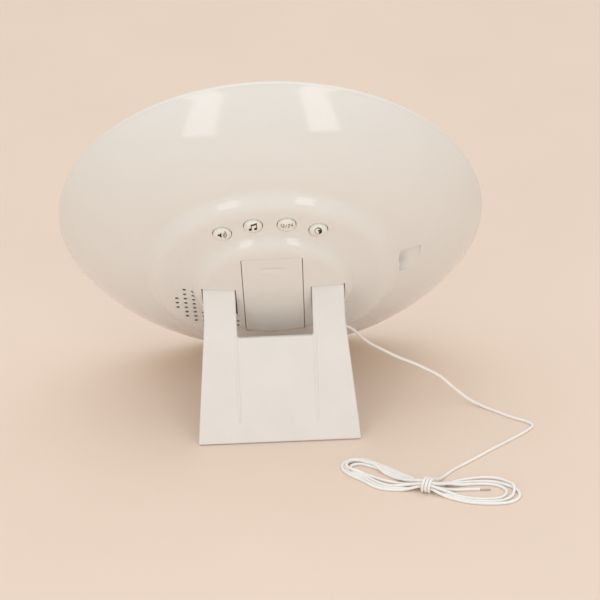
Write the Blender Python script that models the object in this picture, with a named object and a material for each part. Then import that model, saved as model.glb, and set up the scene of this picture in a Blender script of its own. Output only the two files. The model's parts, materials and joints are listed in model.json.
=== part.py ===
"""Wake-up clock radio: a leaning round lamp body with a stepped back, a fold-out stand and a wire aerial.

The object stands on Z = 0 with its lit front towards -Y and its back towards +Y. The origin is
the middle of its footprint. Round body parts are drawn in the body's own frame: X across, Y out of
the back, Z up the face, with the centre of the rim at its origin, and "body_frame" leans them back.
"""

import math

import bmesh
import bpy
import numpy as np
from mathutils import Matrix, Vector

MM = 0.001

# Body, in millimetres. A profile point is (radius, depth behind the rim plane).
TILT = math.radians(27)
RIM_LIFT = 0.4
BEAD_CENTRE = (93.8, 0.6)
BEAD_RADIUS = 1.2
WALL = 2.0
SHELL_RIM = (94.1, 2.1)
DOME_TOP = (56.3, 28.7)
DOME_SAGITTA = 3.6
SHOULDER = [(55.2, 30.0), (53.2, 31.6), (51.0, 32.5), (48.2, 33.0)]
RING_INNER = (37.3, 35.4)
INNER_RISER = [(35.9, 36.1), (34.7, 37.5), (33.0, 38.9), (30.4, 39.8)]
FACE_HEIGHT = 41.8
FACE_SAGITTA = 0.5
SHELL_SEGMENTS = 48

# Battery door and what lies under it.
DOOR_HALF_WIDTH = 13.1
DOOR_TOP = 25.4
DOOR_BOTTOM = -37.7
DOOR_GAP = 0.4
DOOR_THICKNESS = 1.6
DOOR_HINGE = (-37.9, 35.0)
CELL_LENGTH = 44.5
CELL_X = 5.5
CELL_DEPTH = 33.1
TRAY_FLOOR = 26.5
TRAY_TOP = 37.6

# Push buttons on the flat ring: name, sideways place, height up the face.
BUTTON_CIRCLE = 42.6
BUTTON_ANGLES = {
    "button_volume": 28.7,
    "button_sound": 9.6,
    "button_hour_format": -9.6,
    "button_brightness": -28.7,
}
BUTTON_RADIUS = 3.9
BUTTON_GAP = 0.4
BUTTON_DEPTH = 34.2

# Stand: the hinge's place up the face and behind it, and the open stand's angle off the face.
HINGE = (1.6, 38.8)
STAND_ANGLE = math.radians(40.1)
ARM_INNER = 16.8
ARM_OUTER = 31.05
FOOT_HALF_WIDTH = 36.05
PLATE_INNER = -0.7
PLATE_OUTER = 2.3
NOTCH_BOTTOM = -22.0
KNUCKLE_RADIUS = 2.3
PIN_RADIUS = 0.9
PIN_SPAN = (14.6, 30.0)
POCKET_GAP = 0.7
POCKET = [(46.0, 4.3), (35.9, 4.3), (35.9, -0.5), (40.6, -17.5), (46.0, -17.5)]
POCKET_WALL = [(46.0, 6.2), (33.9, 6.2), (33.9, -0.9), (39.0, -19.4), (46.0, -19.4)]
FOOT_LIFT = 0.5
FOOT_BAR = (-3.5, 6.0)
PAD_HEIGHT = 2.0
PAD_SPAN = (21.0, 31.0)
PAD_INSET = (4.3, 1.7)
FIT = 0.3

# Rubber feet under the rim, from this far to this far sideways.
RIM_FOOT_SPAN = (11.5, 20.5)

# Screw posts inside the back.
POST_CIRCLE = 60.0
POST_RADIUS = 3.0
POST_START = 13.6
SCREW_HOLE = 1.5

# Loudspeaker behind a grid of holes that fills a circle.
# The circle's centre sits GRILLE_SHIFT above the middle row of the grid.
SPEAKER = (28.9, -14.0)
GRILLE_CENTRE = (26.3, -14.0)
GRILLE_RADIUS = 17.6
GRILLE_PITCH = (3.78, 3.65)
GRILLE_SHIFT = -0.6
GRILLE_FIRST = 43.2
GRILLE_HOLE = 0.75
GRILLE_NEAREST = 15.6

# Power socket in a scoop at the side of the step.
JACK_X = -56.0
JACK_HEIGHT = 1.1
JACK_DEPTH = 26.0
SCOOP_RADIUS = 7.8
SCOOP_DEPTH = 31.6
SCOOP_SLOPE = math.radians(-4)

# Aerial wire: its hole in the body's frame, then its way down and along the floor in the object's.
WIRE_DIAMETER = 1.3
WIRE_HOLE = (-28.0, -32.0)
WIRE_START = 34.2
GROMMET = [(0.95, 30.2), (3.0, 30.2), (3.0, 31.2), (1.9, 31.2), (1.9, 36.4), (1.5, 36.8), (0.95, 36.8)]
WIRE_ROUTE = [
    (-28.0, 14.6, 39.5),
    (-30.2, 17.0, 37.6),
    (-34.6, 17.0, 34.6),
    (-41.3, 14.6, 30.1),
    (-48.9, 15.2, 25.5),
    (-55.0, 16.2, 21.7),
    (-62.0, 17.2, 18.5),
    (-68.0, 17.7, 15.8),
    (-74.0, 18.2, 12.6),
    (-78.4, 18.7, 9.1),
    (-82.3, 19.7, 5.6),
    (-86.7, 21.6, 2.6),
    (-92.5, 25.6, 1.0),
    (-98.3, 30.2, 0.65),
    (-105.3, 36.0, 0.65),
    (-111.1, 39.9, 0.65),
    (-113.6, 43.6, 0.65),
    (-110.2, 48.0, 0.65),
    (-101.9, 54.9, 0.65),
    (-93.2, 61.7, 0.65),
    (-84.5, 69.0, 0.65),
    (-76.2, 75.5, 0.65),
]
HANK_ENDS = [(-35.0, 69.5, 6.5), (-91.3, 94.0, 10.5)]
HANK_HEIGHT = 5.0

# The body leans about the X axis, so these turn body heights and depths into the object's Y and Z.
BODY_Z = (
    RIM_LIFT
    + BEAD_RADIUS
    + BEAD_CENTRE[0] * math.cos(TILT)
    + BEAD_CENTRE[1] * math.sin(TILT)
)
STAND_LEAN = STAND_ANGLE - TILT


def leaned(height, depth):
    """(Y, Z) from the rim's centre of a place up the face and behind it."""
    return (
        height * math.sin(TILT) + depth * math.cos(TILT),
        height * math.cos(TILT) - depth * math.sin(TILT),
    )


HINGE_Y, HINGE_Z = leaned(*HINGE)


def foot_end(y):
    """The stand's own Z where its foot meets a level cut, at one place through its thickness."""
    level = FOOT_LIFT - BODY_Z - HINGE_Z
    return (level - y * math.sin(STAND_LEAN)) / math.cos(STAND_LEAN)


FRONT_Y = leaned(-BEAD_CENTRE[0], BEAD_CENTRE[1])[0] - BEAD_RADIUS
BACK_Y = (
    HINGE_Y
    + PLATE_OUTER * math.cos(STAND_LEAN)
    - foot_end(PLATE_OUTER) * math.sin(STAND_LEAN)
)
BODY_Y = -(FRONT_Y + BACK_Y) / 2


def clear_scene():
    for obj in list(bpy.data.objects):
        bpy.data.objects.remove(obj)


def plastic(name, colour, roughness, metallic=0.0):
    made = bpy.data.materials.new(name)
    made.use_nodes = True
    shader = made.node_tree.nodes["Principled BSDF"]
    shader.inputs["Base Color"].default_value = (*colour, 1.0)
    shader.inputs["Roughness"].default_value = roughness
    shader.inputs["Metallic"].default_value = metallic
    made.diffuse_color = (*colour, 1.0)
    return made


def empty(name, location, rotation=0.0, parent=None):
    made = bpy.data.objects.new(name, None)
    bpy.context.scene.collection.objects.link(made)
    made.parent = parent
    made.location = Vector(location) * MM
    made.rotation_euler = (rotation, 0.0, 0.0)
    return made


def add(name, shape, material=None, parent=None, location=(0, 0, 0), sharp=40):
    """Turns a bmesh in millimetres into a named object."""
    bmesh.ops.scale(shape, vec=(MM, MM, MM), verts=shape.verts)
    bmesh.ops.recalc_face_normals(shape, faces=shape.faces)
    mesh = bpy.data.meshes.new(name)
    shape.to_mesh(mesh)
    shape.free()
    mesh.shade_smooth()
    mesh.set_sharp_from_angle(angle=math.radians(sharp))
    made = bpy.data.objects.new(name, mesh)
    bpy.context.scene.collection.objects.link(made)
    made.parent = parent
    made.location = Vector(location) * MM
    if material:
        mesh.materials.append(material)
    return made


def change(target, shape, operation="DIFFERENCE", location=(0, 0, 0)):
    """Cuts or joins a shape into an object with a Boolean modifier, from a hidden helper."""
    name = f"{target.name}_{operation.lower()}_{len(target.modifiers)}"
    helper = add(name, shape, parent=target.parent, location=location)
    helper.hide_render = True
    helper.display_type = "WIRE"
    modifier = target.modifiers.new(name, "BOOLEAN")
    modifier.operation = operation
    modifier.object = helper
    return helper


def turned(profile, segments, centre=(0.0, 0.0), turn=0.0):
    """A closed profile of (radius, Y) points, turned about an axis along Y through (x, z)."""
    shape = bmesh.new()
    rings = []
    for radius, y in profile:
        count = 1 if radius == 0 else segments
        rings.append(
            [
                shape.verts.new(
                    (
                        centre[0] + radius * math.sin(turn + math.tau * k / segments),
                        y,
                        centre[1] + radius * math.cos(turn + math.tau * k / segments),
                    )
                )
                for k in range(count)
            ]
        )
    for first, second in zip(rings, rings[1:] + rings[:1]):
        if len(first) == len(second) == 1:
            continue
        for k in range(segments):
            after = (k + 1) % segments
            corners = [
                first[k % len(first)],
                first[after % len(first)],
                second[after % len(second)],
                second[k % len(second)],
            ]
            shape.faces.new(dict.fromkeys(corners))
    return shape


def box(low, high):
    shape = bmesh.new()
    middle = (Vector(low) + Vector(high)) / 2
    size = Vector(high) - Vector(low)
    place = Matrix.Translation(middle) @ Matrix.Diagonal((*size, 1.0))
    bmesh.ops.create_cube(shape, size=1.0, matrix=place)
    return shape


def rod(start, end, radius, segments):
    """A cylinder between two points."""
    shape = bmesh.new()
    start, end = Vector(start), Vector(end)
    along = end - start
    turn = along.to_track_quat("Z", "Y").to_matrix().to_4x4()
    bmesh.ops.create_cone(
        shape,
        cap_ends=True,
        segments=segments,
        radius1=radius,
        radius2=radius,
        depth=along.length,
        matrix=Matrix.Translation((start + end) / 2) @ turn,
    )
    return shape


def prism(outline, low, high, axis="X"):
    """An outline pulled along an axis. Its points are (y, z) for X, (x, z) for Y and (x, y) for Z."""
    shape = bmesh.new()
    place = {
        "X": lambda p, at: (at, p[0], p[1]),
        "Y": lambda p, at: (p[0], at, p[1]),
        "Z": lambda p, at: (p[0], p[1], at),
    }[axis]
    first = [shape.verts.new(place(p, low)) for p in outline]
    second = [shape.verts.new(place(p, high)) for p in outline]
    shape.faces.new(first)
    shape.faces.new(second)
    for k in range(len(outline)):
        after = (k + 1) % len(outline)
        shape.faces.new((first[k], first[after], second[after], second[k]))
    return shape


def merged(shapes):
    """Several separate shapes in one bmesh, for a cutter."""
    whole = bmesh.new()
    for shape in shapes:
        mesh = bpy.data.meshes.new("part_of_cutter")
        shape.to_mesh(mesh)
        shape.free()
        whole.from_mesh(mesh)
        bpy.data.meshes.remove(mesh)
    return whole


def bulge(start, end, sagitta, steps):
    """Points on a circular arc from start to end that stands off the chord on its outer side."""
    start, end = Vector(start), Vector(end)
    chord = end - start
    half = chord.length / 2
    radius = (half * half + sagitta * sagitta) / (2 * sagitta)
    outward = Vector((-chord.y, chord.x)).normalized()
    if outward.y < 0:
        outward = -outward
    centre = (start + end) / 2 - outward * (radius - sagitta)
    first = math.atan2(start.y - centre.y, start.x - centre.x)
    last = math.atan2(end.y - centre.y, end.x - centre.x)
    angles = [first + (last - first) * k / steps for k in range(steps + 1)]
    return [
        (centre.x + radius * math.cos(a), centre.y + radius * math.sin(a))
        for a in angles
    ]


def round_end(centre, radius, first, last, steps):
    """Points on an arc between two angles in degrees."""
    angles = [math.radians(first + (last - first) * k / steps) for k in range(steps + 1)]
    return [
        (centre[0] + radius * math.cos(a), centre[1] + radius * math.sin(a))
        for a in angles
    ]


def offset(profile, distance):
    """The profile, which runs from the rim to the axis, moved inwards and square to itself."""
    moved = []
    for k, point in enumerate(profile):
        before = Vector(profile[max(k - 1, 0)])
        after = Vector(profile[min(k + 1, len(profile) - 1)])
        along = (after - before).normalized()
        moved.append((point[0] - along.y * distance, point[1] + along.x * distance))
    return moved


def back_profile():
    """The outside of the back, from the rim to the axis."""
    dome = bulge(SHELL_RIM, DOME_TOP, DOME_SAGITTA, 6)
    face = bulge(INNER_RISER[-1], (0.0, FACE_HEIGHT), FACE_SAGITTA, 3)
    points = dome + SHOULDER + [RING_INNER] + INNER_RISER + face[1:-1]
    return points + [(0.0, FACE_HEIGHT)]


def inside_profile(distance):
    """The back's profile moved inwards, from the rim to the axis."""
    moved = offset(back_profile(), distance)
    return moved[:-1] + [(0.0, FACE_HEIGHT - distance)]


def button_places():
    for name, angle in BUTTON_ANGLES.items():
        turn = math.radians(angle)
        yield name, BUTTON_CIRCLE * math.sin(turn), BUTTON_CIRCLE * math.cos(turn)


def grille_places():
    """Centres of the speaker holes: a grid in a circle, clear of the stand's pocket."""
    across, up = GRILLE_PITCH
    columns = int((GRILLE_FIRST - GRILLE_NEAREST) / across) + 1
    rows = int(GRILLE_RADIUS / up)
    for column in range(columns):
        x = GRILLE_FIRST - column * across
        for row in range(-rows, rows + 1):
            z = GRILLE_CENTRE[1] + row * up
            inside = math.hypot(x - GRILLE_CENTRE[0], row * up - GRILLE_SHIFT) <= GRILLE_RADIUS
            beside = x > ARM_OUTER + POCKET_GAP + GRILLE_HOLE
            below = z < POCKET_WALL[-1][1] - GRILLE_HOLE
            if inside and (beside or below):
                yield x, z


def make_rear_shell(frame, white):
    """The back casing: a turned skin with posts, pockets, holes and the battery opening."""
    outside = back_profile() + [(0.0, SHELL_RIM[1])]
    shell = add("rear_shell", turned(outside, SHELL_SEGMENTS), white, frame)

    hollow_profile = inside_profile(WALL)
    hollow_profile = [(hollow_profile[0][0], -5.0)] + hollow_profile + [(0.0, -5.0)]
    hollow = change(shell, turned(hollow_profile, SHELL_SEGMENTS))
    inner, outer = ARM_INNER - POCKET_GAP, ARM_OUTER + POCKET_GAP
    for side in (-1, 1):
        change(hollow, prism(POCKET_WALL, side * (inner - WALL), side * (outer + WALL + 1.6)))
    scoop_wall = scoop(SCOOP_RADIUS + WALL, JACK_X + WALL)
    change(hollow, scoop_wall)
    for x, z in post_places():
        change(hollow, rod((x, POST_START, z), (x, 30.0, z), POST_RADIUS, 12))

    pockets = [prism(POCKET, side * inner, side * outer) for side in (-1, 1)]
    change(shell, merged(pockets))
    change(shell, merged([hinge_rod(side, PIN_SPAN[0] - FIT, 17.0, PIN_RADIUS + FIT) for side in (-1, 1)]))
    change(shell, scoop(SCOOP_RADIUS, JACK_X))
    holes = [
        rod((x, 28.0, z), (x, 40.0, z), BUTTON_RADIUS + BUTTON_GAP, 16)
        for _, x, z in button_places()
    ]
    holes.append(rod((-50.0, JACK_DEPTH, JACK_HEIGHT), (-60.0, JACK_DEPTH, JACK_HEIGHT), 2.5, 16))
    holes.append(rod((WIRE_HOLE[0], 28.0, WIRE_HOLE[1]), (WIRE_HOLE[0], 40.0, WIRE_HOLE[1]), 2.2, 12))
    holes += [rod((x, 12.0, z), (x, 22.0, z), SCREW_HOLE, 8) for x, z in post_places()]
    change(shell, merged(holes))
    grille = [rod((x, 25.0, z), (x, 46.0, z), GRILLE_HOLE, 5) for x, z in grille_places()]
    change(shell, merged(grille))
    wide, gap = DOOR_HALF_WIDTH + DOOR_GAP, DOOR_GAP
    change(shell, box((-wide, 30.0, DOOR_BOTTOM - gap), (wide, 46.0, DOOR_TOP + gap)))
    return shell


def hinge_rod(side, near, far, radius):
    """A rod along the stand's hinge on one side of the body, in the body's frame."""
    height, depth = HINGE
    return rod((side * near, depth, height), (side * far, depth, height), radius, 12)


def scoop(radius, start_x):
    """The round channel that a power plug lies in: it starts at a flat wall and slopes out of the dome."""
    shape = rod((0.0, 0.0, 0.0), (40.0, 0.0, 0.0), radius, 20)
    turn = Matrix.Rotation(math.pi + SCOOP_SLOPE, 4, "Z")
    bmesh.ops.transform(shape, matrix=turn, verts=shape.verts)
    place = (JACK_X + 4.0, SCOOP_DEPTH + 4.0 * math.tan(SCOOP_SLOPE), JACK_HEIGHT)
    bmesh.ops.translate(shape, vec=place, verts=shape.verts)
    result = bmesh.ops.bisect_plane(
        shape,
        geom=shape.verts[:] + shape.edges[:] + shape.faces[:],
        plane_co=(start_x, 0.0, 0.0),
        plane_no=(1.0, 0.0, 0.0),
        clear_outer=True,
    )
    rim = [e for e in result["geom_cut"] if isinstance(e, bmesh.types.BMEdge)]
    bmesh.ops.contextual_create(shape, geom=rim)
    return shape


def post_places():
    for angle in (45, 135, 225, 315):
        turn = math.radians(angle)
        yield POST_CIRCLE * math.sin(turn), POST_CIRCLE * math.cos(turn)


def make_front(frame, paints):
    """The bead ring, the light's opal front, and the clock in the middle of it."""
    bead = round_end(BEAD_CENTRE, BEAD_RADIUS, 90, -90, 4)
    ring = bead + [
        (91.5, -1.3),
        (88.6, -2.1),
        (88.6, -0.3),
        (86.4, -0.3),
        (86.4, 1.2),
        (88.3, 1.2),
        (88.3, 4.0),
        (89.6, 4.0),
        (89.6, 1.8),
    ]
    add("front_ring", turned(ring, 48), paints["white"], frame)

    lit_front = [(r, -y) for r, y in bulge((88.3, 2.4), (31.0, 10.4), 2.2, 4)]
    lit_back = [(r, -y) for r, y in bulge((88.3, 0.6), (31.0, 8.6), 2.2, 4)]
    add("light_diffuser", turned(lit_front + lit_back[::-1], 40), paints["opal"], frame)

    collar = [
        (30.6, -10.6),
        (30.6, 11.6),
        (25.0, 11.6),
        (25.0, 10.4),
        (29.0, 10.4),
        (29.0, 2.5),
        (0.0, 2.5),
        (0.0, 1.0),
        (27.0, 1.0),
        (27.0, -8.9),
        (29.0, -8.9),
        (29.0, -10.6),
    ]
    add("display_collar", turned(collar, 28), paints["white"], frame)
    lens_front = [(r, -y) for r, y in bulge((28.7, 10.9), (0.0, 11.8), 0.25, 2)]
    lens = lens_front[:-1] + [(0.0, -11.8), (0.0, -9.2), (28.7, -9.2)]
    add("display_lens", turned(lens, 28), paints["smoke"], frame)
    add("clock_display", box((-22, -8.0, -9), (22, -1.6, 9)), paints["black"], frame)
    add("display_board", box((-22, -1.2, -13), (22, 0.4, 13)), paints["board"], frame)
    add("touch_board", box((-14, -8.4, -20), (14, -7.4, -14)), paints["board"], frame)


def make_lamp(frame, paints):
    """What lights the front: a white dish, a ring of light emitters and the screws that hold them."""
    dish = [
        (87.6, 1.6),
        (87.6, 2.8),
        (84.4, 2.8),
        (74.0, 9.4),
        (66.0, 12.6),
        (62.0, 13.2),
        (20.0, 13.2),
        (20.0, 12.0),
        (62.0, 12.0),
        (66.0, 11.4),
        (74.0, 8.2),
        (84.0, 1.6),
    ]
    reflector = add("light_reflector", turned(dish, 36), paints["white"], frame)
    screw_holes = [rod((x, 8.0, z), (x, 16.0, z), 1.6, 8) for x, z in post_places()]
    change(reflector, merged(screw_holes))

    board = turned([(38.0, 10.1), (45.0, 10.1), (49.0, 10.1), (55.0, 10.1), (55.0, 11.7), (38.0, 11.7)], 36)
    board.normal_update()
    lit = [
        face
        for face in board.faces
        if face.normal.y and abs(face.calc_center_median().y - 10.1) < 0.01
        and 45.0 < math.hypot(face.calc_center_median().x, face.calc_center_median().z) < 49.0
    ]
    raised = bmesh.ops.extrude_discrete_faces(board, faces=lit[::3])
    for face in raised["faces"]:
        bmesh.ops.translate(board, vec=(0.0, -1.0, 0.0), verts=face.verts)
    add("led_ring_board", board, paints["white"], frame)

    for number, (x, z) in enumerate(post_places(), start=1):
        profile = [(0.0, 9.6), (2.2, 9.9), (2.6, 10.6), (2.6, 11.6), (1.2, 11.6), (1.2, 19.5), (0.0, 20.5)]
        screw = turned(profile, 10, centre=(x, z))
        add(f"reflector_screw_{number}", screw, paints["steel"], frame)


def make_electronics(frame, paints):
    add("main_board", box((-37, 15.0, 5), (37, 16.6, 48)), paints["board"], frame)
    add("button_board", box((-27, 22.5, 30), (27, 24.1, 45.5)), paints["board"], frame)
    for number, (_, x, z) in enumerate(button_places(), start=1):
        switch = box((x - 3, 24.4, z - 3), (x + 3, 26.6, z + 3))
        top = [f for f in switch.faces if f.calc_center_median().y > 26.5]
        bmesh.ops.inset_region(switch, faces=top, thickness=1.3)
        raised = bmesh.ops.extrude_discrete_faces(switch, faces=top)
        bmesh.ops.translate(switch, vec=(0.0, 0.9, 0.0), verts=raised["faces"][0].verts)
        add(f"tact_switch_{number}", switch, paints["black"], frame)

    frame_profile = [
        (16.0, 25.8),
        (16.0, 24.6),
        (14.2, 24.6),
        (9.8, 17.0),
        (0.0, 17.0),
        (0.0, 17.9),
        (9.2, 17.9),
        (13.2, 25.0),
        (13.2, 25.8),
    ]
    add("speaker_frame", turned(frame_profile, 16, SPEAKER), paints["black"], frame)
    cone = [(12.7, 25.5), (11.9, 25.5), (4.5, 20.5), (0.0, 21.6), (0.0, 19.0), (4.8, 19.6), (12.4, 25.0)]
    add("speaker_cone", turned(cone, 16, SPEAKER), paints["paper"], frame)
    magnet = [(9.0, 13.7), (9.0, 16.7), (0.0, 16.7), (0.0, 13.7)]
    add("speaker_magnet", turned(magnet, 16, SPEAKER), paints["steel"], frame)


def make_battery_bay(frame, paints):
    tray = add(
        "battery_tray",
        box((-12.4, TRAY_FLOOR, -26.2), (12.4, TRAY_TOP, 25.2)),
        paints["white"],
        frame,
    )
    change(tray, box((-11.2, TRAY_FLOOR + 1.2, -25.4), (11.2, 45.0, 24.4)))
    for number, side in ((1, 1), (2, -1)):
        low, high = -CELL_LENGTH / 2, CELL_LENGTH / 2
        can = [(0.0, low), (4.6, low), (5.1, low + 0.5), (5.1, high - 1.6), (4.6, high - 1.1)]
        nub = [(1.9, high - 1.0), (1.9, high), (0.0, high)]
        cell = turned(can + nub, 16)
        turn = Matrix.Rotation(side * math.pi / 2, 4, "X")
        bmesh.ops.transform(cell, matrix=turn, verts=cell.verts)
        place = (side * CELL_X, CELL_DEPTH, 0.0)
        bmesh.ops.translate(cell, vec=place, verts=cell.verts)
        add(f"battery_cell_{number}", cell, paints["cell"], frame)

        wall = -24.9 if side > 0 else 24.0
        flat = -side * (CELL_LENGTH / 2 + FIT)
        cone = turned([(0.0, wall), (3.6, wall), (2.0, flat), (0.0, flat)], 12)
        bmesh.ops.transform(cone, matrix=Matrix.Rotation(math.pi / 2, 4, "X"), verts=cone.verts)
        bmesh.ops.translate(cone, vec=(side * CELL_X, CELL_DEPTH, 0.0), verts=cone.verts)
        add(f"battery_spring_{number}", cone, paints["steel"], frame)
        plate_z = side * (CELL_LENGTH / 2 + 0.9)
        plate = box(
            (side * CELL_X - 4.0, CELL_DEPTH - 3.5, plate_z - 0.2),
            (side * CELL_X + 4.0, CELL_DEPTH + 3.5, plate_z + 0.2),
        )
        add(f"battery_contact_{number}", plate, paints["steel"], frame)


def make_battery_door(frame, white):
    """A panel of the back's own skin, with two hooks at its lower edge that it swings on."""
    outer = [p for p in back_profile() if p[0] < 50.0]
    inner = [p for p in inside_profile(DOOR_THICKNESS) if p[0] < 50.0]
    origin = (0.0, DOOR_HINGE[1], DOOR_HINGE[0])
    skin = turned(outer + inner[::-1], SHELL_SEGMENTS)
    shift = -Vector(origin)
    bmesh.ops.translate(skin, vec=shift, verts=skin.verts)
    door = add("battery_door", skin, white, frame, origin)
    panel = box((-DOOR_HALF_WIDTH, 30.0, DOOR_BOTTOM), (DOOR_HALF_WIDTH, 46.0, DOOR_TOP))
    change(door, panel, "INTERSECT")
    for side in (-1, 1):
        hook = prism(
            [(34.6, -36.9), (34.6, -35.2), (31.6, -36.4), (31.6, -39.2), (32.5, -39.2), (32.7, -37.2)],
            side * 8.0 - 2.0,
            side * 8.0 + 2.0,
        )
        change(door, hook, "UNION")
    return door


def make_buttons(frame, white):
    """Domed push buttons. Each one's origin is where its own axis meets the ring."""
    profile = [
        (0.0, 2.3),
        (1.7, 2.05),
        (2.8, 1.6),
        (3.6, 1.0),
        (BUTTON_RADIUS, 0.4),
        (BUTTON_RADIUS, -3.7),
        (5.1, -3.7),
        (5.1, -4.5),
        (1.6, -4.5),
        (1.6, -5.6),
        (0.0, -5.6),
    ]
    for name, x, z in button_places():
        add(name, turned(profile, 16), white, frame, (x, BUTTON_DEPTH, z))


def make_jack(frame, black):
    body = box((-53.2, JACK_DEPTH - 4.0, JACK_HEIGHT - 4.0), (-44.5, JACK_DEPTH + 2.4, JACK_HEIGHT + 4.0))
    jack = add("dc_jack", body, black, frame)
    nose = rod((-50.0, JACK_DEPTH, JACK_HEIGHT), (-55.7, JACK_DEPTH, JACK_HEIGHT), 2.2, 16)
    change(jack, nose, "UNION")
    bore = turned([(0.6, 0.0), (1.7, 0.0), (1.7, 8.0), (0.6, 8.0)], 12)
    bmesh.ops.transform(bore, matrix=Matrix.Rotation(math.pi / 2, 4, "Z"), verts=bore.verts)
    change(jack, bore, location=(-49.0, JACK_DEPTH, JACK_HEIGHT))


def half_width(z):
    """Half the stand's width at one height: straight at the hinge, then flaring out to the foot."""
    share = max(0.0, (z / foot_end(PLATE_OUTER) - 0.15) / 0.85)
    return ARM_OUTER + (FOOT_HALF_WIDTH - ARM_OUTER) * share * share * (3 - 2 * share)


def make_stand(body, paints):
    """The fold-out leg: a flat plate with two arms, a knuckle on each arm, pins and rubber pads."""
    hinge = empty("stand_hinge", (0.0, HINGE[1], HINGE[0]), STAND_ANGLE, body)
    foot = foot_end(PLATE_OUTER)
    right = [(half_width(foot * k / 8), foot * k / 8) for k in range(9)]
    notch = [(ARM_INNER, 0.0)]
    notch += [(ARM_INNER - x, NOTCH_BOTTOM + y) for x, y in ((0.0, 1.2), (0.35, 0.35), (1.2, 0.0))]
    half = notch[::-1] + right
    outline = [(-x, z) for x, z in half] + half[::-1]
    plate = prism(outline, PLATE_INNER, PLATE_OUTER, "Y")
    stand = add("stand", plate, paints["satin"], hinge, sharp=25)
    for side in (-1, 1):
        knuckle = rod((side * ARM_INNER, 0, 0), (side * ARM_OUTER, 0, 0), KNUCKLE_RADIUS, 16)
        change(stand, knuckle, "UNION")
    inside, tall = FOOT_BAR
    bar = [(0.0, foot), (0.0, foot + tall), (inside, foot + tall - 2.0), (inside, foot_end(inside))]
    change(stand, prism(bar, -FOOT_HALF_WIDTH + 2.0, FOOT_HALF_WIDTH - 2.0), "UNION")
    level = foot_end(inside)
    under = [(-9.0, foot_end(-9.0)), (9.0, foot_end(9.0)), (9.0, level - 9.0), (-9.0, level - 9.0)]
    change(stand, prism(under, -40.0, 40.0))
    ends = [((side * 14.0, 0, 0), (side * (PIN_SPAN[1] + FIT), 0, 0)) for side in (-1, 1)]
    bores = [rod(start, end, PIN_RADIUS + FIT, 12) for start, end in ends]
    change(stand, merged(bores))

    bpy.context.view_layer.update()
    sockets = []
    for name, side in (("stand_pad_left", 1), ("stand_pad_right", -1)):
        near, far = sorted(side * x for x in PAD_SPAN)
        front, back = (BODY_Y + BACK_Y - inset for inset in PAD_INSET)
        pad = add(name, box((near, front, 0.0), (far, back, PAD_HEIGHT)), paints["rubber"], hinge)
        pad.matrix_parent_inverse = hinge.matrix_world.inverted()
        low = (near - FIT, front - FIT, -1.0)
        high = (far + FIT, back + FIT, PAD_HEIGHT + FIT)
        sockets.append(box(low, high))
    change(stand, merged(sockets)).parent = None

    for name, side in (("stand_pin_left", 1), ("stand_pin_right", -1)):
        add(name, hinge_rod(side, *PIN_SPAN, PIN_RADIUS), paints["steel"], body)


def rim_underside(x):
    """The height of the bead's underside at one place across."""
    drop = BEAD_CENTRE[0] - math.sqrt(BEAD_CENTRE[0] ** 2 - x * x)
    return RIM_LIFT + drop * math.cos(TILT)


def make_rim_feet(rubber):
    """Rubber wedges under the rim that keep the round body from rolling."""
    y = BODY_Y + FRONT_Y + BEAD_RADIUS
    near, far = RIM_FOOT_SPAN
    for name, side in (("rim_foot_left", 1), ("rim_foot_right", -1)):
        outline = [
            (side * near, 0.0),
            (side * far, 0.0),
            (side * far, rim_underside(far) - FIT),
            (side * near, rim_underside(near) - FIT),
        ]
        add(name, prism(outline, y - 0.9, y + 3.6, "Y"), rubber)


def smooth_route(points, steps):
    """A Catmull-Rom curve through the points."""
    points = [np.array(p, float) for p in points]
    points = [2 * points[0] - points[1], *points, 2 * points[-1] - points[-2]]
    route = []
    for a, b, c, d in zip(points, points[1:], points[2:], points[3:]):
        for k in range(steps):
            t = k / steps
            bend = (2 * a - 5 * b + 4 * c - d) * t**2 + (3 * b - a - 3 * c + d) * t**3
            route.append(0.5 * (2 * b + (c - a) * t + bend))
    return route + [points[-2]]


def make_aerial(body, paints):
    """A thin wire from a bush in the back down to the floor, where the rest of it lies folded up."""
    add("antenna_grommet", turned(GROMMET, 12, WIRE_HOLE), paints["satin"], body)

    y, z = leaned(WIRE_HOLE[1], WIRE_START)
    start = (WIRE_HOLE[0], BODY_Y + y, BODY_Z + z)
    route = smooth_route([start, *WIRE_ROUTE], 3)
    curve = bpy.data.curves.new("antenna_wire", "CURVE")
    curve.dimensions = "3D"
    curve.resolution_u = 1
    curve.render_resolution_u = 0
    curve.bevel_depth = WIRE_DIAMETER / 2 * MM
    curve.bevel_resolution = 2
    curve.use_fill_caps = True
    line = curve.splines.new("POLY")
    line.points.add(len(route) - 1)
    for point, place in zip(line.points, route):
        point.co = (*(place * MM), 1.0)
    curve.materials.append(paints["wire"])
    wire = bpy.data.objects.new("antenna_wire", curve)
    bpy.context.scene.collection.objects.link(wire)

    (x1, y1, r1), (x2, y2, r2) = HANK_ENDS
    facing = math.degrees(math.atan2(y2 - y1, x2 - x1))
    outline = round_end((x2, y2), r2, facing - 90, facing + 90, 8)
    outline += round_end((x1, y1), r1, facing + 90, facing + 270, 8)
    add("antenna_hank", prism(outline, 0.0, HANK_HEIGHT, "Z"), paints["wire"])


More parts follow.
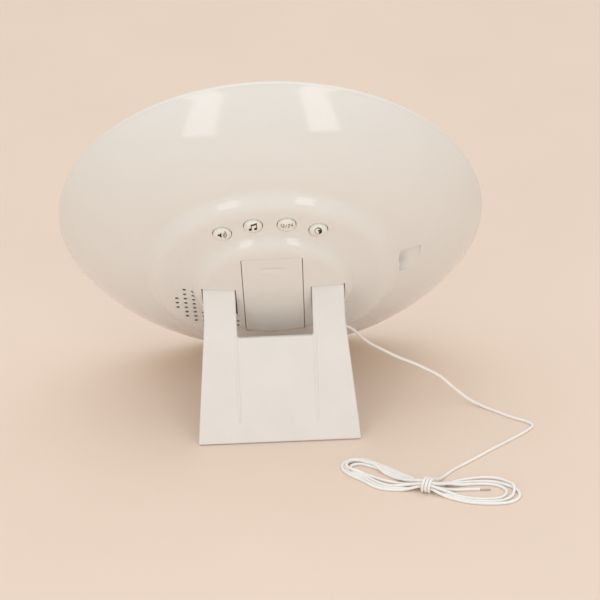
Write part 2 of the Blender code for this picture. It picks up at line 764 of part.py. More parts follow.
def main():
    clear_scene()
    body = empty("body_frame", (0.0, BODY_Y, BODY_Z), -TILT)
    paints = {
        "white": plastic("gloss_white", (0.80, 0.76, 0.70), 0.18),
        "satin": plastic("satin_white", (0.82, 0.79, 0.75), 0.35),
        "opal": plastic("opal_front", (0.90, 0.89, 0.86), 0.30),
        "smoke": plastic("smoked_lens", (0.05, 0.05, 0.06), 0.10),
        "black": plastic("black_plastic", (0.03, 0.03, 0.03), 0.45),
        "board": plastic("green_board", (0.05, 0.22, 0.10), 0.50),
        "steel": plastic("plated_steel", (0.60, 0.60, 0.60), 0.30, 1.0),
        "paper": plastic("speaker_paper", (0.06, 0.06, 0.06), 0.80),
        "cell": plastic("cell_wrap", (0.10, 0.16, 0.30), 0.35),
        "rubber": plastic("grey_rubber", (0.35, 0.34, 0.33), 0.70),
        "wire": plastic("wire_sleeve", (0.80, 0.78, 0.74), 0.40),
    }
    make_rear_shell(body, paints["white"])
    make_front(body, paints)
    make_lamp(body, paints)
    make_electronics(body, paints)
    make_battery_bay(body, paints)
    make_battery_door(body, paints["white"])
    make_buttons(body, paints["white"])
    make_jack(body, paints["black"])
    make_stand(body, paints)
    make_rim_feet(paints["rubber"])
    make_aerial(body, paints)


main()
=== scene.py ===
"""The looks of the wake-up clock radio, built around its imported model.

Lengths are in millimetres until an object is made. Round body parts are drawn in the body's own
frame, as in the model: X across, Y out of the back, Z up the face, from the centre of the rim.
"""

import math

import bmesh
import bpy
import numpy as np
from mathutils import Matrix, Vector
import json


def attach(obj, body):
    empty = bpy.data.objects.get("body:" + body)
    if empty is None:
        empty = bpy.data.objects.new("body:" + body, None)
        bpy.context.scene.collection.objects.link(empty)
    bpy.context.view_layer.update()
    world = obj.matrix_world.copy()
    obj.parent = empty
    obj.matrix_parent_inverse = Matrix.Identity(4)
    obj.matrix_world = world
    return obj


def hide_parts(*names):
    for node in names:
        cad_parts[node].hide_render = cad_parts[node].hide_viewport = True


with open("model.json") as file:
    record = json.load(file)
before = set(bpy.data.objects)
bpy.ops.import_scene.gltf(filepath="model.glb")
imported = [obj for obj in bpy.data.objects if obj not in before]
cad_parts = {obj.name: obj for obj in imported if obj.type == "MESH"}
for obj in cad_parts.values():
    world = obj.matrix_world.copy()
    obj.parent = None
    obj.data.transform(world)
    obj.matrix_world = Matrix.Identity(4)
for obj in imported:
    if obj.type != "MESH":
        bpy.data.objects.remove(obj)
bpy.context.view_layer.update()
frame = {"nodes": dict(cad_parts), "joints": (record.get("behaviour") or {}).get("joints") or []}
NODES = frame["nodes"]
JOINTS = {joint["name"]: joint for joint in frame["joints"]}

MM = 0.001
TILT = math.radians(27)
RIM_LIFT = 0.4
BEAD_CENTRE = (93.8, 0.6)
BEAD_RADIUS = 1.2
WALL = 2.0
FIT = 0.3
TURNS = 192

# Outline of the back, as (radius, depth behind the rim plane): the dome, the shoulder that climbs
# to the ring of buttons, the ring, and the riser that climbs to the face round the door.
SHELL_RIM = (94.1, 2.1)
RIM_LIP = (94.66, 1.52)
DOME_TOP = (59.0, 27.5)
DOME_SAGITTA = 3.6
SHOULDER = [
    (57.8, 27.95),
    (56.7, 28.55),
    (55.4, 29.65),
    (53.5, 31.6),
    (51.9, 32.7),
    (50.0, 33.5),
    (47.4, 34.0),
]
RING = [(44.3, 34.25), (40.5, 34.7), (37.3, 35.4)]
INNER_RISER = [(35.9, 36.1), (34.7, 37.5), (33.1, 39.0), (30.6, 40.2)]
FACE_HEIGHT = 41.3
FACE_SAGITTA = 0.3

# Screw posts inside the back.
POST_CIRCLE = 60.0
POST_RADIUS = 3.0
POST_SPAN = (13.6, 30.0)
POST_ANGLES = (45, 135, 225, 315)
SCREW_HOLE = 1.5
SCREW_SPAN = (12.0, 22.0)

# Battery door.
DOOR_HALF_WIDTH = 13.1
DOOR_TOP = 25.4
DOOR_BOTTOM = -37.7
DOOR_GAP = 0.25
DOOR_THICKNESS = 1.6
DOOR_CORNER = 0.8
DOOR_EDGE = 0.25
DOOR_CUT = (30.0, 46.0)
THUMB_MARK_HEIGHT = 18.0
THUMB_MARK_HALF_SIZE = (7.0, 1.6)
THUMB_MARK_DEPTH = 0.5
HOOK_X = 8.0
HOOK_HALF_WIDTH = 2.0
HOOK_SIDE = [(34.3, -36.9), (34.3, -35.2), (31.6, -36.4), (31.6, -39.2), (32.5, -39.2), (32.7, -37.2)]

# Push buttons.
BUTTON_CIRCLE = 42.6
BUTTON_ANGLES = {
    "button_volume": 28.7,
    "button_sound": 9.6,
    "button_hour_format": -9.6,
    "button_brightness": -28.7,
}
BUTTON_RADIUS = 3.9
BUTTON_GAP = 0.3
BUTTON_DEPTH = 34.2
BUTTON_CROWN = 2.35
BUTTON_EDGE = 0.95
BUTTON_ROUNDING = 2.4
BUTTON_CUT = (28.0, 40.0)
BUTTON_STEM = [(3.9, -3.7), (5.1, -3.7), (5.1, -4.5), (1.6, -4.5), (1.6, -5.6), (0.0, -5.6)]
MARK_LIFT = 1.35
MARK_SCALE = (1.1, 1.3)

# The clock module's front, that its figures lie on.
CLOCK_FACE = -8.02

# Stand, in its own frame: X across, Y out of the plate, Z towards the hinge.
HINGE = (1.6, 38.8)
STAND_ANGLE = math.radians(40.1)
ARM_INNER = 16.8
ARM_OUTER = 31.05
FOOT_HALF_WIDTH = 36.45
PLATE_INNER = -0.7
PLATE_OUTER = 2.3
ARCH_TOP = -22.0
ARCH_CORNER = 1.2
KNUCKLE_RADIUS = 2.3
PIN_RADIUS = 0.9
PIN_SPAN = (14.6, 30.0)
PIN_HOLE_END = 17.0
POCKET_GAP = 0.4
POCKET = [(46.0, 4.3), (35.9, 4.3), (35.9, -0.5), (40.6, -17.5), (46.0, -17.5)]
POCKET_WALL = [(46.0, 6.2), (33.9, 6.2), (33.9, -0.9), (39.0, -19.4), (46.0, -19.4)]
FOOT_LIFT = 0.5
FOOT_BAR = (-3.5, 6.0)
PLATE_EDGE = 0.8
PAD_SPAN = (20.7, 31.3)
PAD_FROM_BACK = (4.6, 1.4)
PAD_SOCKET_HEIGHTS = (-1.0, 2.3)
FLARE_START = 0.2
RIB_X = 17.4
RIB_ENDS = (-21.0, -61.0)
RIB_WIDTH = 1.1
RIB_HEIGHT = 0.4

# Loudspeaker holes. The circle's centre sits GRILLE_SHIFT above the middle row of the grid.
GRILLE_CENTRE = (26.3, -14.0)
GRILLE_RADIUS = 17.6
GRILLE_PITCH = (3.78, 3.65)
GRILLE_SHIFT = -0.6
GRILLE_FIRST = 43.2
GRILLE_NEAREST = 15.6
GRILLE_WALL = 0.5
GRILLE_HOLE = 0.85
GRILLE_CUT = (20.0, 44.0)
GRILLE_THINNING = (22.0, 46.0)

# Power socket, in a shallow recess whose floor leans inwards towards its upper end.
JACK_X = -56.0
JACK_HEIGHT = 1.1
JACK_DEPTH = 26.0
JACK_BORE = 2.5
JACK_BORE_SPAN = (-50.0, -56.4)
RECESS_HEIGHT = 2.6
RECESS_HALF_HEIGHT = 7.5
RECESS_FLOOR = 25.0
RECESS_LEAN = math.radians(9)
RECESS_LENGTH = 9.6
RECESS_REACH = 12.0
RECESS_CORNER = 0.9

# Aerial wire. The route is the model's own, apart from its first steps, which sag less.
WIRE_DIAMETER = 1.3
WIRE_HOLE = (-28.0, -32.0)
WIRE_START = 34.2
WIRE_BORE = 2.2
WIRE_CUT = (28.0, 40.0)
WIRE_ROUTE = [
    (-28.0, 14.2, 40.1),
    (-30.9, 15.9, 40.6),
    (-34.7, 15.2, 38.2),
    (-41.3, 14.5, 31.0),
    (-48.9, 14.9, 26.1),
    (-55.0, 15.6, 22.8),
    (-62.0, 16.5, 19.8),
    (-68.0, 17.2, 16.7),
    (-74.0, 17.9, 13.1),
    (-78.4, 18.7, 9.1),
    (-82.3, 19.7, 5.6),
    (-86.7, 21.6, 2.6),
    (-92.5, 25.6, 1.0),
    (-98.3, 30.2, 0.65),
    (-105.3, 36.0, 0.65),
    (-111.1, 39.9, 0.65),
    (-113.6, 43.6, 0.65),
    (-110.2, 48.0, 0.65),
    (-101.9, 54.9, 0.65),
    (-93.2, 61.7, 0.65),
    (-84.5, 69.0, 0.65),
    (-76.2, 75.5, 0.65),
]

# The hank of spare wire: two lobes of loops on either side of a waist, which the wire is wound round.
# A loop's places are (along the lobe from the waist, across it), with a lift above the floor's layer
# where the strand lies on others.
WAIST = (-62.0, 91.0, 3.45)
LEFT_TIP = (-27.5, 68.1)
RIGHT_TIP = (-101.8, 98.2)
HANK_FREEZE = 2.5
BUNDLE_RADIUS = 1.43
WRAP_RADIUS = 2.8
WRAP_PITCH = 1.42
WRAP_START = -2.5
WRAP_ANGLES = (-30, 975)
WRAP_LEAVES = 130
WIRE_RISE = [(-72.3, 79.5, 0.8), (-68.8, 83.8, 2.9)]
LEFT_LOOPS = [
    [
        (8.5, 3.3), (16.7, 5.7), (28.4, 7.0), (36.0, 6.7), (40.8, 3.6),
        (41.2, -0.9), (37.6, -4.2), (30.3, -6.0), (18.9, -8.8), (9.5, -5.4),
    ],
    [
        (8.5, 2.4), (16.5, 4.2), (28.0, 5.5), (35.2, 5.3), (39.4, 2.2),
        (39.4, -2.0), (35.6, -4.4), (28.0, -5.2), (18.0, -7.2), (9.5, -4.0),
    ],
    [
        (8.5, 1.6), (15.5, 2.7), (25.5, 4.0), (32.0, 4.0), (36.6, 1.9),
        (37.0, -1.9), (33.2, -4.0), (25.5, -4.0), (17.5, -5.6), (9.5, -2.6),
    ],
    [
        (8.5, 0.6), (14.0, 1.0), (22.0, 2.6, 0.9), (30.0, 5.2, 1.35), (37.4, 4.0, 1.35),
        (39.8, -0.3, 1.35), (36.2, -3.4, 1.35), (28.0, -2.6, 1.0), (18.0, -2.4), (9.5, -0.9),
    ],
]
RIGHT_LOOPS = [
    [
        (9.0, -4.0), (19.8, -7.4), (30.7, -6.9), (38.0, -4.4), (40.3, 0.6),
        (37.0, 5.6), (28.5, 9.0), (18.0, 8.0), (8.5, 4.4),
    ],
    [
        (9.0, -2.9), (19.5, -5.9), (29.0, -5.5), (35.4, -3.0, 0.4), (37.6, 2.4, 1.35),
        (35.8, 8.2, 1.35), (29.0, 12.2, 0.4), (18.3, 10.6), (8.5, 5.4),
    ],
    [
        (9.0, -1.6), (17.0, -4.2), (26.0, -4.1), (32.0, -2.6), (34.6, 1.4),
        (32.4, 5.4), (26.0, 7.2), (17.0, 5.8), (8.5, 2.9),
    ],
]
FREE_END = [(9.0, 0.5), (14.0, 1.5), (18.5, 2.4), (23.0, 2.9)]
STRIPPED_END = 4.5
CORE_RADIUS = 0.4

# Camera, aimed at the middle of the view, and the floor.
CAMERA_PLACE = (-10.04, 805.78, 489.7)
CAMERA_AIM = (-11.53, 17.10, 55.36)
CAMERA_ROLL = math.radians(-2.33)
CAMERA_LENS = 120.6

# Lights. A strip is its bearing from the object, in degrees, and its width.
STRIPS = {"left_strip": (28.5, 330.0), "right_strip": (-24.0, 300.0)}
STRIP_AIM = (0.0, 40.0)
STRIP_DISTANCE = 1300.0
STRIP_MIDDLE = 620.0
STRIP_HEIGHT = 980.0
STRIP_POWER = 2.2
OVERHEAD_PLACE = (0.0, -100.0, 1700.0)
OVERHEAD_SIZE = (2600.0, 2400.0)
OVERHEAD_POWER = 12.5
OVERHEAD_COLOUR = (0.865, 1.03, 1.3)
ROOM_COLOUR = (1.0, 0.905, 0.745)
ROOM_STRENGTH = 0.73

BODY_Z = (
    RIM_LIFT
    + BEAD_RADIUS
    + BEAD_CENTRE[0] * math.cos(TILT)
    + BEAD_CENTRE[1] * math.sin(TILT)
)
STAND_LEAN = STAND_ANGLE - TILT


def leaned(height, depth):
    """(Y, Z) from the rim's centre of a place up the face and behind it."""
    return (
        height * math.sin(TILT) + depth * math.cos(TILT),
        height * math.cos(TILT) - depth * math.sin(TILT),
    )


BODY_Y = JOINTS["stand_fold"]["pos_m"][1] / MM - leaned(*HINGE)[0]
BODY_PLACE = Matrix.Translation((0.0, BODY_Y, BODY_Z)) @ Matrix.Rotation(-TILT, 4, "X")
HINGE_Y, HINGE_Z = leaned(*HINGE)
STAND_PLACE = (
    Matrix.Translation((0.0, BODY_Y + HINGE_Y, BODY_Z + HINGE_Z))
    @ Matrix.Rotation(STAND_LEAN, 4, "X")
)
WORLD = Matrix.Identity(4)


def foot_end(y):
    """The stand's own Z where its foot meets a level cut, at one place through its thickness."""
    level = FOOT_LIFT - BODY_Z - HINGE_Z
    return (level - y * math.sin(STAND_LEAN)) / math.cos(STAND_LEAN)


# ---- materials


class Paint:
    """A node material around one Principled shader, with helpers for noise, colour and bump."""

    def __init__(self, name, colour, roughness, **sockets):
        self.material = bpy.data.materials.new(name)
        self.material.use_nodes = True
        self.tree = self.material.node_tree
        self.shader = self.tree.nodes["Principled BSDF"]
        self.shader.inputs["Base Color"].default_value = (*colour, 1.0)
        self.shader.inputs["Roughness"].default_value = roughness
        for socket, value in sockets.items():
            self.shader.inputs[socket.replace("_", " ")].default_value = value
        self.place = self.node("ShaderNodeTexCoord").outputs["Object"]
        self.height = None

    def node(self, kind, **values):
        made = self.tree.nodes.new(kind)
        for name, value in values.items():
            setattr(made, name, value)
        return made

    def link(self, source, target):
        self.tree.links.new(source, target)

    def noise(self, size_mm, detail=2.0, stretch=(1.0, 1.0, 1.0)):
        mapping = self.node("ShaderNodeMapping")
        mapping.inputs["Scale"].default_value = stretch
        self.link(self.place, mapping.inputs["Vector"])
        made = self.node("ShaderNodeTexNoise")
        made.inputs["Scale"].default_value = 1.0 / (size_mm * MM)
        made.inputs["Detail"].default_value = detail
        self.link(mapping.outputs["Vector"], made.inputs["Vector"])
        return made.outputs["Fac"]

    def spread(self, value, low, high, start=0.3, end=0.7):
        """Maps a 0 to 1 value onto low to high."""
        made = self.node("ShaderNodeMapRange")
        self.link(value, made.inputs["Value"])
        for name, number in zip(("From Min", "From Max", "To Min", "To Max"), (start, end, low, high)):
            made.inputs[name].default_value = number
        return made.outputs["Result"]

    def vary_colour(self, value, first, second):
        ramp = self.node("ShaderNodeValToRGB")
        ramp.color_ramp.elements[0].position = 0.35
        ramp.color_ramp.elements[1].position = 0.65
        ramp.color_ramp.elements[0].color = (*first, 1.0)
        ramp.color_ramp.elements[1].color = (*second, 1.0)
        self.link(value, ramp.inputs["Fac"])
        self.link(ramp.outputs["Color"], self.shader.inputs["Base Color"])
        return self

    def vary_roughness(self, value, low, high):
        self.link(self.spread(value, low, high), self.shader.inputs["Roughness"])
        return self

    def bump(self, value, depth_mm, strength=1.0):
        made = self.node("ShaderNodeBump")
        made.inputs["Distance"].default_value = depth_mm * MM
        made.inputs["Strength"].default_value = strength
        self.link(value, made.inputs["Height"])
        if self.height:
            self.link(self.height, made.inputs["Normal"])
        self.height = made.outputs["Normal"]
        self.link(self.height, self.shader.inputs["Normal"])
        return self

    def soften(self, radius_mm):
        """Rounds sharp edges in the shading. It comes before any bump."""
        made = self.node("ShaderNodeBevel", samples=6)
        made.inputs["Radius"].default_value = radius_mm * MM
        self.height = made.outputs["Normal"]
        self.link(self.height, self.shader.inputs["Normal"])
        return self


def make_paints():
    white = (0.775, 0.782, 0.79)
    paints = {}

    gloss = Paint("gloss_white_plastic", white, 0.09, Subsurface_Weight=0.04, IOR=1.5)
    gloss.shader.inputs["Subsurface Radius"].default_value = (0.004, 0.003, 0.002)
    gloss.vary_colour(gloss.noise(26.0, 3.0), white, (0.788, 0.794, 0.8))
    gloss.vary_roughness(gloss.noise(9.0, 4.0), 0.07, 0.12)
    gloss.bump(gloss.noise(1.6, 2.0), 0.004)
    gloss.bump(gloss.noise(14.0, 1.0), 0.02)
    paints["gloss"] = gloss

    cap = Paint("button_white_plastic", white, 0.15, Subsurface_Weight=0.05, IOR=1.5)
    cap.shader.inputs["Subsurface Radius"].default_value = (0.003, 0.002, 0.0015)
    cap.vary_colour(cap.noise(5.0), (0.815, 0.815, 0.805), (0.835, 0.835, 0.825))
    cap.vary_roughness(cap.noise(2.0, 3.0), 0.12, 0.2)
    cap.bump(cap.noise(0.8), 0.004)
    paints["cap"] = cap

    satin = Paint("satin_white_plastic", (0.80, 0.808, 0.835), 0.42, IOR=1.48)
    satin.vary_colour(satin.noise(18.0, 3.0), (0.785, 0.795, 0.82), (0.81, 0.82, 0.845))
    satin.vary_roughness(satin.noise(4.0, 4.0), 0.36, 0.5)
    satin.soften(0.3)
    satin.bump(satin.noise(0.35, 2.0), 0.012, 0.8)
    satin.bump(satin.noise(20.0, 1.0), 0.03)
    paints["satin"] = satin

    opal = Paint("opal_diffuser", (0.90, 0.89, 0.86), 0.3, Subsurface_Weight=0.35, IOR=1.49)
    opal.shader.inputs["Subsurface Radius"].default_value = (0.006, 0.006, 0.005)
    opal.vary_colour(opal.noise(40.0, 2.0), (0.89, 0.88, 0.85), (0.92, 0.91, 0.885))
    opal.vary_roughness(opal.noise(3.0, 3.0), 0.26, 0.36)
    opal.bump(opal.noise(0.5), 0.0015, 0.6)
    paints["opal"] = opal

    smoke = Paint("smoked_window", (0.10, 0.10, 0.11), 0.06, Transmission_Weight=0.9, IOR=1.49)
    smoke.vary_roughness(smoke.noise(12.0, 4.0), 0.04, 0.10)
    smoke.bump(smoke.noise(10.0, 1.0), 0.004)
    paints["smoke"] = smoke

    black = Paint("black_plastic", (0.025, 0.025, 0.026), 0.4, IOR=1.5)
    black.vary_roughness(black.noise(1.5, 3.0), 0.32, 0.5)
    black.soften(0.2)
    black.bump(black.noise(0.3), 0.008, 0.7)
    paints["black"] = black

    board = Paint("circuit_board", (0.02, 0.16, 0.06), 0.35, IOR=1.5)
    brick = board.node("ShaderNodeTexBrick")
    brick.inputs["Scale"].default_value = 160.0
    brick.inputs["Mortar Size"].default_value = 0.03
    brick.inputs["Color1"].default_value = (0.015, 0.13, 0.05, 1.0)
    brick.inputs["Color2"].default_value = (0.02, 0.16, 0.065, 1.0)
    brick.inputs["Mortar"].default_value = (0.07, 0.27, 0.12, 1.0)
    board.link(board.place, brick.inputs["Vector"])
    board.link(brick.outputs["Color"], board.shader.inputs["Base Color"])
    board.bump(brick.outputs["Fac"], 0.03)
    paints["board"] = board

    steel = Paint("plated_steel", (0.62, 0.61, 0.60), 0.28, Metallic=1.0)
    steel.vary_roughness(steel.noise(1.0, 4.0, (1.0, 12.0, 12.0)), 0.2, 0.4)
    steel.bump(steel.noise(0.4, 2.0, (1.0, 10.0, 10.0)), 0.006, 0.6)
    paints["steel"] = steel

    paper = Paint("speaker_paper", (0.03, 0.03, 0.032), 0.85)
    paper.vary_colour(paper.noise(1.0, 5.0), (0.02, 0.02, 0.021), (0.05, 0.05, 0.052))
    paper.bump(paper.noise(0.5, 4.0), 0.05)
    paints["paper"] = paper

    sleeve = Paint("cell_sleeve", (0.07, 0.12, 0.26), 0.3, IOR=1.5)
    sleeve.vary_colour(sleeve.noise(30.0, 1.0), (0.06, 0.10, 0.24), (0.09, 0.15, 0.30))
    sleeve.vary_roughness(sleeve.noise(3.0, 3.0), 0.24, 0.38)
    paints["sleeve"] = sleeve

    rubber = Paint("grey_rubber", (0.30, 0.29, 0.28), 0.75)
    rubber.vary_colour(rubber.noise(2.0, 4.0), (0.26, 0.25, 0.24), (0.34, 0.33, 0.32))
    rubber.bump(rubber.noise(0.3, 3.0), 0.02)
    paints["rubber"] = rubber

    vinyl = Paint("white_vinyl_sleeve", (0.90, 0.905, 0.91), 0.35, Subsurface_Weight=0.08, IOR=1.5)
    vinyl.shader.inputs["Subsurface Radius"].default_value = (0.001, 0.0009, 0.0008)
    vinyl.vary_colour(vinyl.noise(6.0, 3.0), (0.88, 0.885, 0.895), (0.92, 0.925, 0.935))
    vinyl.vary_roughness(vinyl.noise(2.0, 3.0), 0.3, 0.45)
    vinyl.bump(vinyl.noise(0.6, 2.0), 0.01)
    paints["vinyl"] = vinyl

    ink = Paint("black_ink", (0.012, 0.012, 0.012), 0.5)
    ink.vary_roughness(ink.noise(0.5), 0.4, 0.6)
    paints["ink"] = ink

    digit = Paint("display_digit", (0.25, 0.26, 0.24), 0.4)
    digit.shader.inputs["Emission Color"].default_value = (1.0, 0.93, 0.8, 1.0)
    digit.shader.inputs["Emission Strength"].default_value = 0.9
    digit.vary_roughness(digit.noise(0.8), 0.3, 0.5)
    paints["digit"] = digit

    return {name: paint.material for name, paint in paints.items()}


# ---- shapes


def turned(profile, segments=TURNS):
    """A closed profile of (radius, Y) points, turned about the Y axis."""
    shape = bmesh.new()
    rings = []
    for radius, y in profile:
        count = 1 if radius == 0 else segments
        angles = [math.tau * k / segments for k in range(count)]
        ring = [shape.verts.new((radius * math.sin(a), y, radius * math.cos(a))) for a in angles]
        rings.append(ring)
    for first, second in zip(rings, rings[1:] + rings[:1]):
        if len(first) == len(second) == 1:
            continue
        for k in range(segments):
            after = (k + 1) % segments
            corners = [
                first[k % len(first)],
                first[after % len(first)],
                second[after % len(second)],
                second[k % len(second)],
            ]
            shape.faces.new(dict.fromkeys(corners))
    return shape


def rod(start, end, radius, segments):
    shape = bmesh.new()
    start, end = Vector(start), Vector(end)
    along = end - start
    turn = along.to_track_quat("Z", "Y").to_matrix().to_4x4()
    place = Matrix.Translation((start + end) / 2) @ turn
    bmesh.ops.create_cone(
        shape,
        cap_ends=True,
        segments=segments,
        radius1=radius,
        radius2=radius,
        depth=along.length,
        matrix=place,
    )
    return shape


def box(low, high):
    shape = bmesh.new()
    middle = (Vector(low) + Vector(high)) / 2
    size = Vector(high) - Vector(low)
    bmesh.ops.create_cube(shape, size=1.0, matrix=Matrix.Translation(middle) @ Matrix.Diagonal((*size, 1.0)))
    return shape


def prism(outline, low, high, axis="X"):
    """An outline pulled straight along X, from (y, z) points, or along Y, from (x, z) points."""
    shape = bmesh.new()
    place = {
        "X": lambda p, at: (at, p[0], p[1]),
        "Y": lambda p, at: (p[0], at, p[1]),
    }[axis]
    first = [shape.verts.new(place(p, low)) for p in outline]
    second = [shape.verts.new(place(p, high)) for p in outline]
    shape.faces.new(first)
    shape.faces.new(second)
    for k in range(len(outline)):
        after = (k + 1) % len(outline)
        shape.faces.new((first[k], first[after], second[after], second[k]))
    return shape


def merged(shapes):
    whole = bmesh.new()
    for shape in shapes:
        mesh = bpy.data.meshes.new("merging")
        shape.to_mesh(mesh)
        shape.free()
        whole.from_mesh(mesh)
        bpy.data.meshes.remove(mesh)
    return whole


def add(name, shape, material=None, place=WORLD, sharp=35):
    """Turns a bmesh in millimetres into an object whose own frame is the world's."""
    bmesh.ops.transform(shape, matrix=Matrix.Scale(MM, 4) @ place, verts=shape.verts)
    bmesh.ops.recalc_face_normals(shape, faces=shape.faces)
    mesh = bpy.data.meshes.new(name)
    shape.to_mesh(mesh)
    shape.free()
    mesh.shade_smooth()
    mesh.set_sharp_from_angle(angle=math.radians(sharp))
    made = bpy.data.objects.new(name, mesh)
    bpy.context.scene.collection.objects.link(made)
    if material:
        mesh.materials.append(material)
    return made


def settle(obj, sharp=35):
    """Applies an object's modifiers."""
    graph = bpy.context.evaluated_depsgraph_get()
    mesh = bpy.data.meshes.new_from_object(obj.evaluated_get(graph))
    obj.modifiers.clear()
    obj.data = mesh
    mesh.shade_smooth()
    mesh.set_sharp_from_angle(angle=math.radians(sharp))
    return obj


def combine(target, helper, operation):
    """Cuts, joins or crosses an object with a helper, which is then deleted."""
    modifier = target.modifiers.new("change", "BOOLEAN")
    modifier.operation = operation
    modifier.object = helper
    settle(target)
    bpy.data.objects.remove(helper)


def change(target, shape, place, operation="DIFFERENCE"):
    combine(target, add("helper", shape, place=place), operation)


def rounded(obj, width_mm, segments=3, angle=30):
    modifier = obj.modifiers.new("rounded", "BEVEL")
    modifier.width = width_mm * MM
    modifier.segments = segments
    modifier.limit_method = "ANGLE"
    modifier.angle_limit = math.radians(angle)
    modifier.harden_normals = True
    return settle(obj)


def even_shading(obj):
    """Keeps large flat faces flat in the shading, next to their rounded edges."""
    modifier = obj.modifiers.new("even", "WEIGHTED_NORMAL")
    modifier.keep_sharp = True
    return settle(obj)


def bulge(start, end, sagitta, steps):
    """Points on a circular arc from start to end that stands off the chord on its outer side."""
    start, end = Vector(start), Vector(end)
    chord = end - start
    half = chord.length / 2
    radius = (half * half + sagitta * sagitta) / (2 * sagitta)
    outward = Vector((-chord.y, chord.x)).normalized()
    if outward.y < 0:
        outward = -outward
    centre = (start + end) / 2 - outward * (radius - sagitta)
    first = math.atan2(start.y - centre.y, start.x - centre.x)
    last = math.atan2(end.y - centre.y, end.x - centre.x)
    angles = [first + (last - first) * k / steps for k in range(steps + 1)]
    return [(centre.x + radius * math.cos(a), centre.y + radius * math.sin(a)) for a in angles]


def arc(centre, radius, first, last, steps=12):
    """Points round a centre, from one angle in degrees to another."""
    angles = [math.radians(first + (last - first) * k / steps) for k in range(steps + 1)]
    return [(centre[0] + radius * math.cos(a), centre[1] + radius * math.sin(a)) for a in angles]


def smooth_route(points, steps):
    """A Catmull-Rom curve through the points."""
    points = [np.array(p, float) for p in points]
    points = [2 * points[0] - points[1], *points, 2 * points[-1] - points[-2]]
    route = []
    for a, b, c, d in zip(points, points[1:], points[2:], points[3:]):
        for k in range(steps):
            t = k / steps
            cubic = (2 * a - 5 * b + 4 * c - d) * t**2 + (3 * b - a - 3 * c + d) * t**3
            route.append(0.5 * (2 * b + (c - a) * t + cubic))
    return route + [points[-2]]


def ease(t):
    t = min(max(t, 0.0), 1.0)
    return t * t * (3 - 2 * t)


# ---- the back casing


def back_profile():
    """The outside of the back, from the rim to the axis, with its steps drawn smooth."""
    dome = bulge(SHELL_RIM, DOME_TOP, DOME_SAGITTA, 28)
    steps = smooth_route([dome[-2], DOME_TOP, *SHOULDER, *RING, *INNER_RISER], 6)
    face = bulge(INNER_RISER[-1], (0.0, FACE_HEIGHT), FACE_SAGITTA, 8)
    return dome[:-2] + [tuple(p) for p in steps[:-1]] + face[:-1] + [(0.0, FACE_HEIGHT)]


PROFILE = back_profile()
PROFILE_R = [p[0] for p in PROFILE[::-1]]
PROFILE_W = [p[1] for p in PROFILE[::-1]]


def depth_at(x, z):
    """How far behind the rim plane the back's surface is."""
    return float(np.interp(math.hypot(x, z), PROFILE_R, PROFILE_W))


def inside_profile(distance):
    """A coarser copy of the back's profile, moved inwards."""
    outline = PROFILE[::4] + [PROFILE[-1]]
    moved = []
    for k, point in enumerate(outline):
        before = Vector(outline[max(k - 1, 0)])
        after = Vector(outline[min(k + 1, len(outline) - 1)])
        along = (after - before).normalized()
        moved.append((point[0] + along.y * -distance, point[1] + along.x * distance))
    return moved[:-1] + [(0.0, FACE_HEIGHT - distance)]


def button_places():
    for name, angle in BUTTON_ANGLES.items():
        turn = math.radians(angle)
        yield name, BUTTON_CIRCLE * math.sin(turn), BUTTON_CIRCLE * math.cos(turn)


def grille_places():
    """A grid of speaker holes inside a circle, clear of the door and the stand's pocket."""
    across, up = GRILLE_PITCH
    columns = int((GRILLE_FIRST - GRILLE_NEAREST) / across) + 1
    rows = int(GRILLE_RADIUS / up)
    for column in range(columns):
        x = GRILLE_FIRST - column * across
        for row in range(-rows, rows + 1):
            z = GRILLE_CENTRE[1] + row * up
            inside = math.hypot(x - GRILLE_CENTRE[0], row * up - GRILLE_SHIFT) <= GRILLE_RADIUS
            beside = x > ARM_OUTER + POCKET_GAP + GRILLE_HOLE
            below = z < POCKET_WALL[-1][1] - GRILLE_HOLE
            if inside and (beside or below):
                yield x, z


def recess(grow):
    """The shallow recess that a power plug lies in, or its surroundings when grown."""
    shape = bmesh.new()
    bmesh.ops.create_cube(shape, size=1.0)
    size = (RECESS_LENGTH, RECESS_REACH, 2 * (RECESS_HALF_HEIGHT + grow))
    place = Matrix.Translation((JACK_X + grow - RECESS_LENGTH / 2, RECESS_FLOOR - grow, RECESS_HEIGHT))
    lean = Matrix.Rotation(RECESS_LEAN, 4, "X") @ Matrix.Translation((0.0, size[1] / 2, 0.0))
    bmesh.ops.transform(shape, matrix=place @ lean @ Matrix.Diagonal((*size, 1.0)), verts=shape.verts)
    edges = shape.edges[:]
    bmesh.ops.bevel(shape, geom=edges, offset=RECESS_CORNER, segments=4, profile=0.5, affect="EDGES")
    return shape


def post_places():
    for angle in POST_ANGLES:
        turn = math.radians(angle)
        yield POST_CIRCLE * math.sin(turn), POST_CIRCLE * math.cos(turn)


def depth_rod(x, z, span, radius, segments):
    """A rod along the body's depth, for a post or a hole."""
    return rod((x, span[0], z), (x, span[1], z), radius, segments)


def along_hinge(side, span, radius, segments):
    """A rod on the stand's axis, in the body's own frame, on one side of the middle."""
    height, depth = HINGE
    return rod((side * span[0], depth, height), (side * span[1], depth, height), radius, segments)


def casing_hollow():
    """The room inside the casing, less the walls round the pockets, the posts and the recess."""
    inner = inside_profile(WALL)
    profile = [(inner[0][0], -5.0)] + inner + [(0.0, -5.0)]
    hollow = add("hollow", turned(profile, 96), place=BODY_PLACE)
    near, far = ARM_INNER - POCKET_GAP, ARM_OUTER + POCKET_GAP
    walls = [prism(POCKET_WALL, side * (near - WALL), side * (far + WALL)) for side in (-1, 1)]
    walls += [depth_rod(x, z, POST_SPAN, POST_RADIUS, 24) for x, z in post_places()]
    change(hollow, merged(walls), BODY_PLACE)
    change(hollow, recess(WALL), BODY_PLACE)
    return hollow


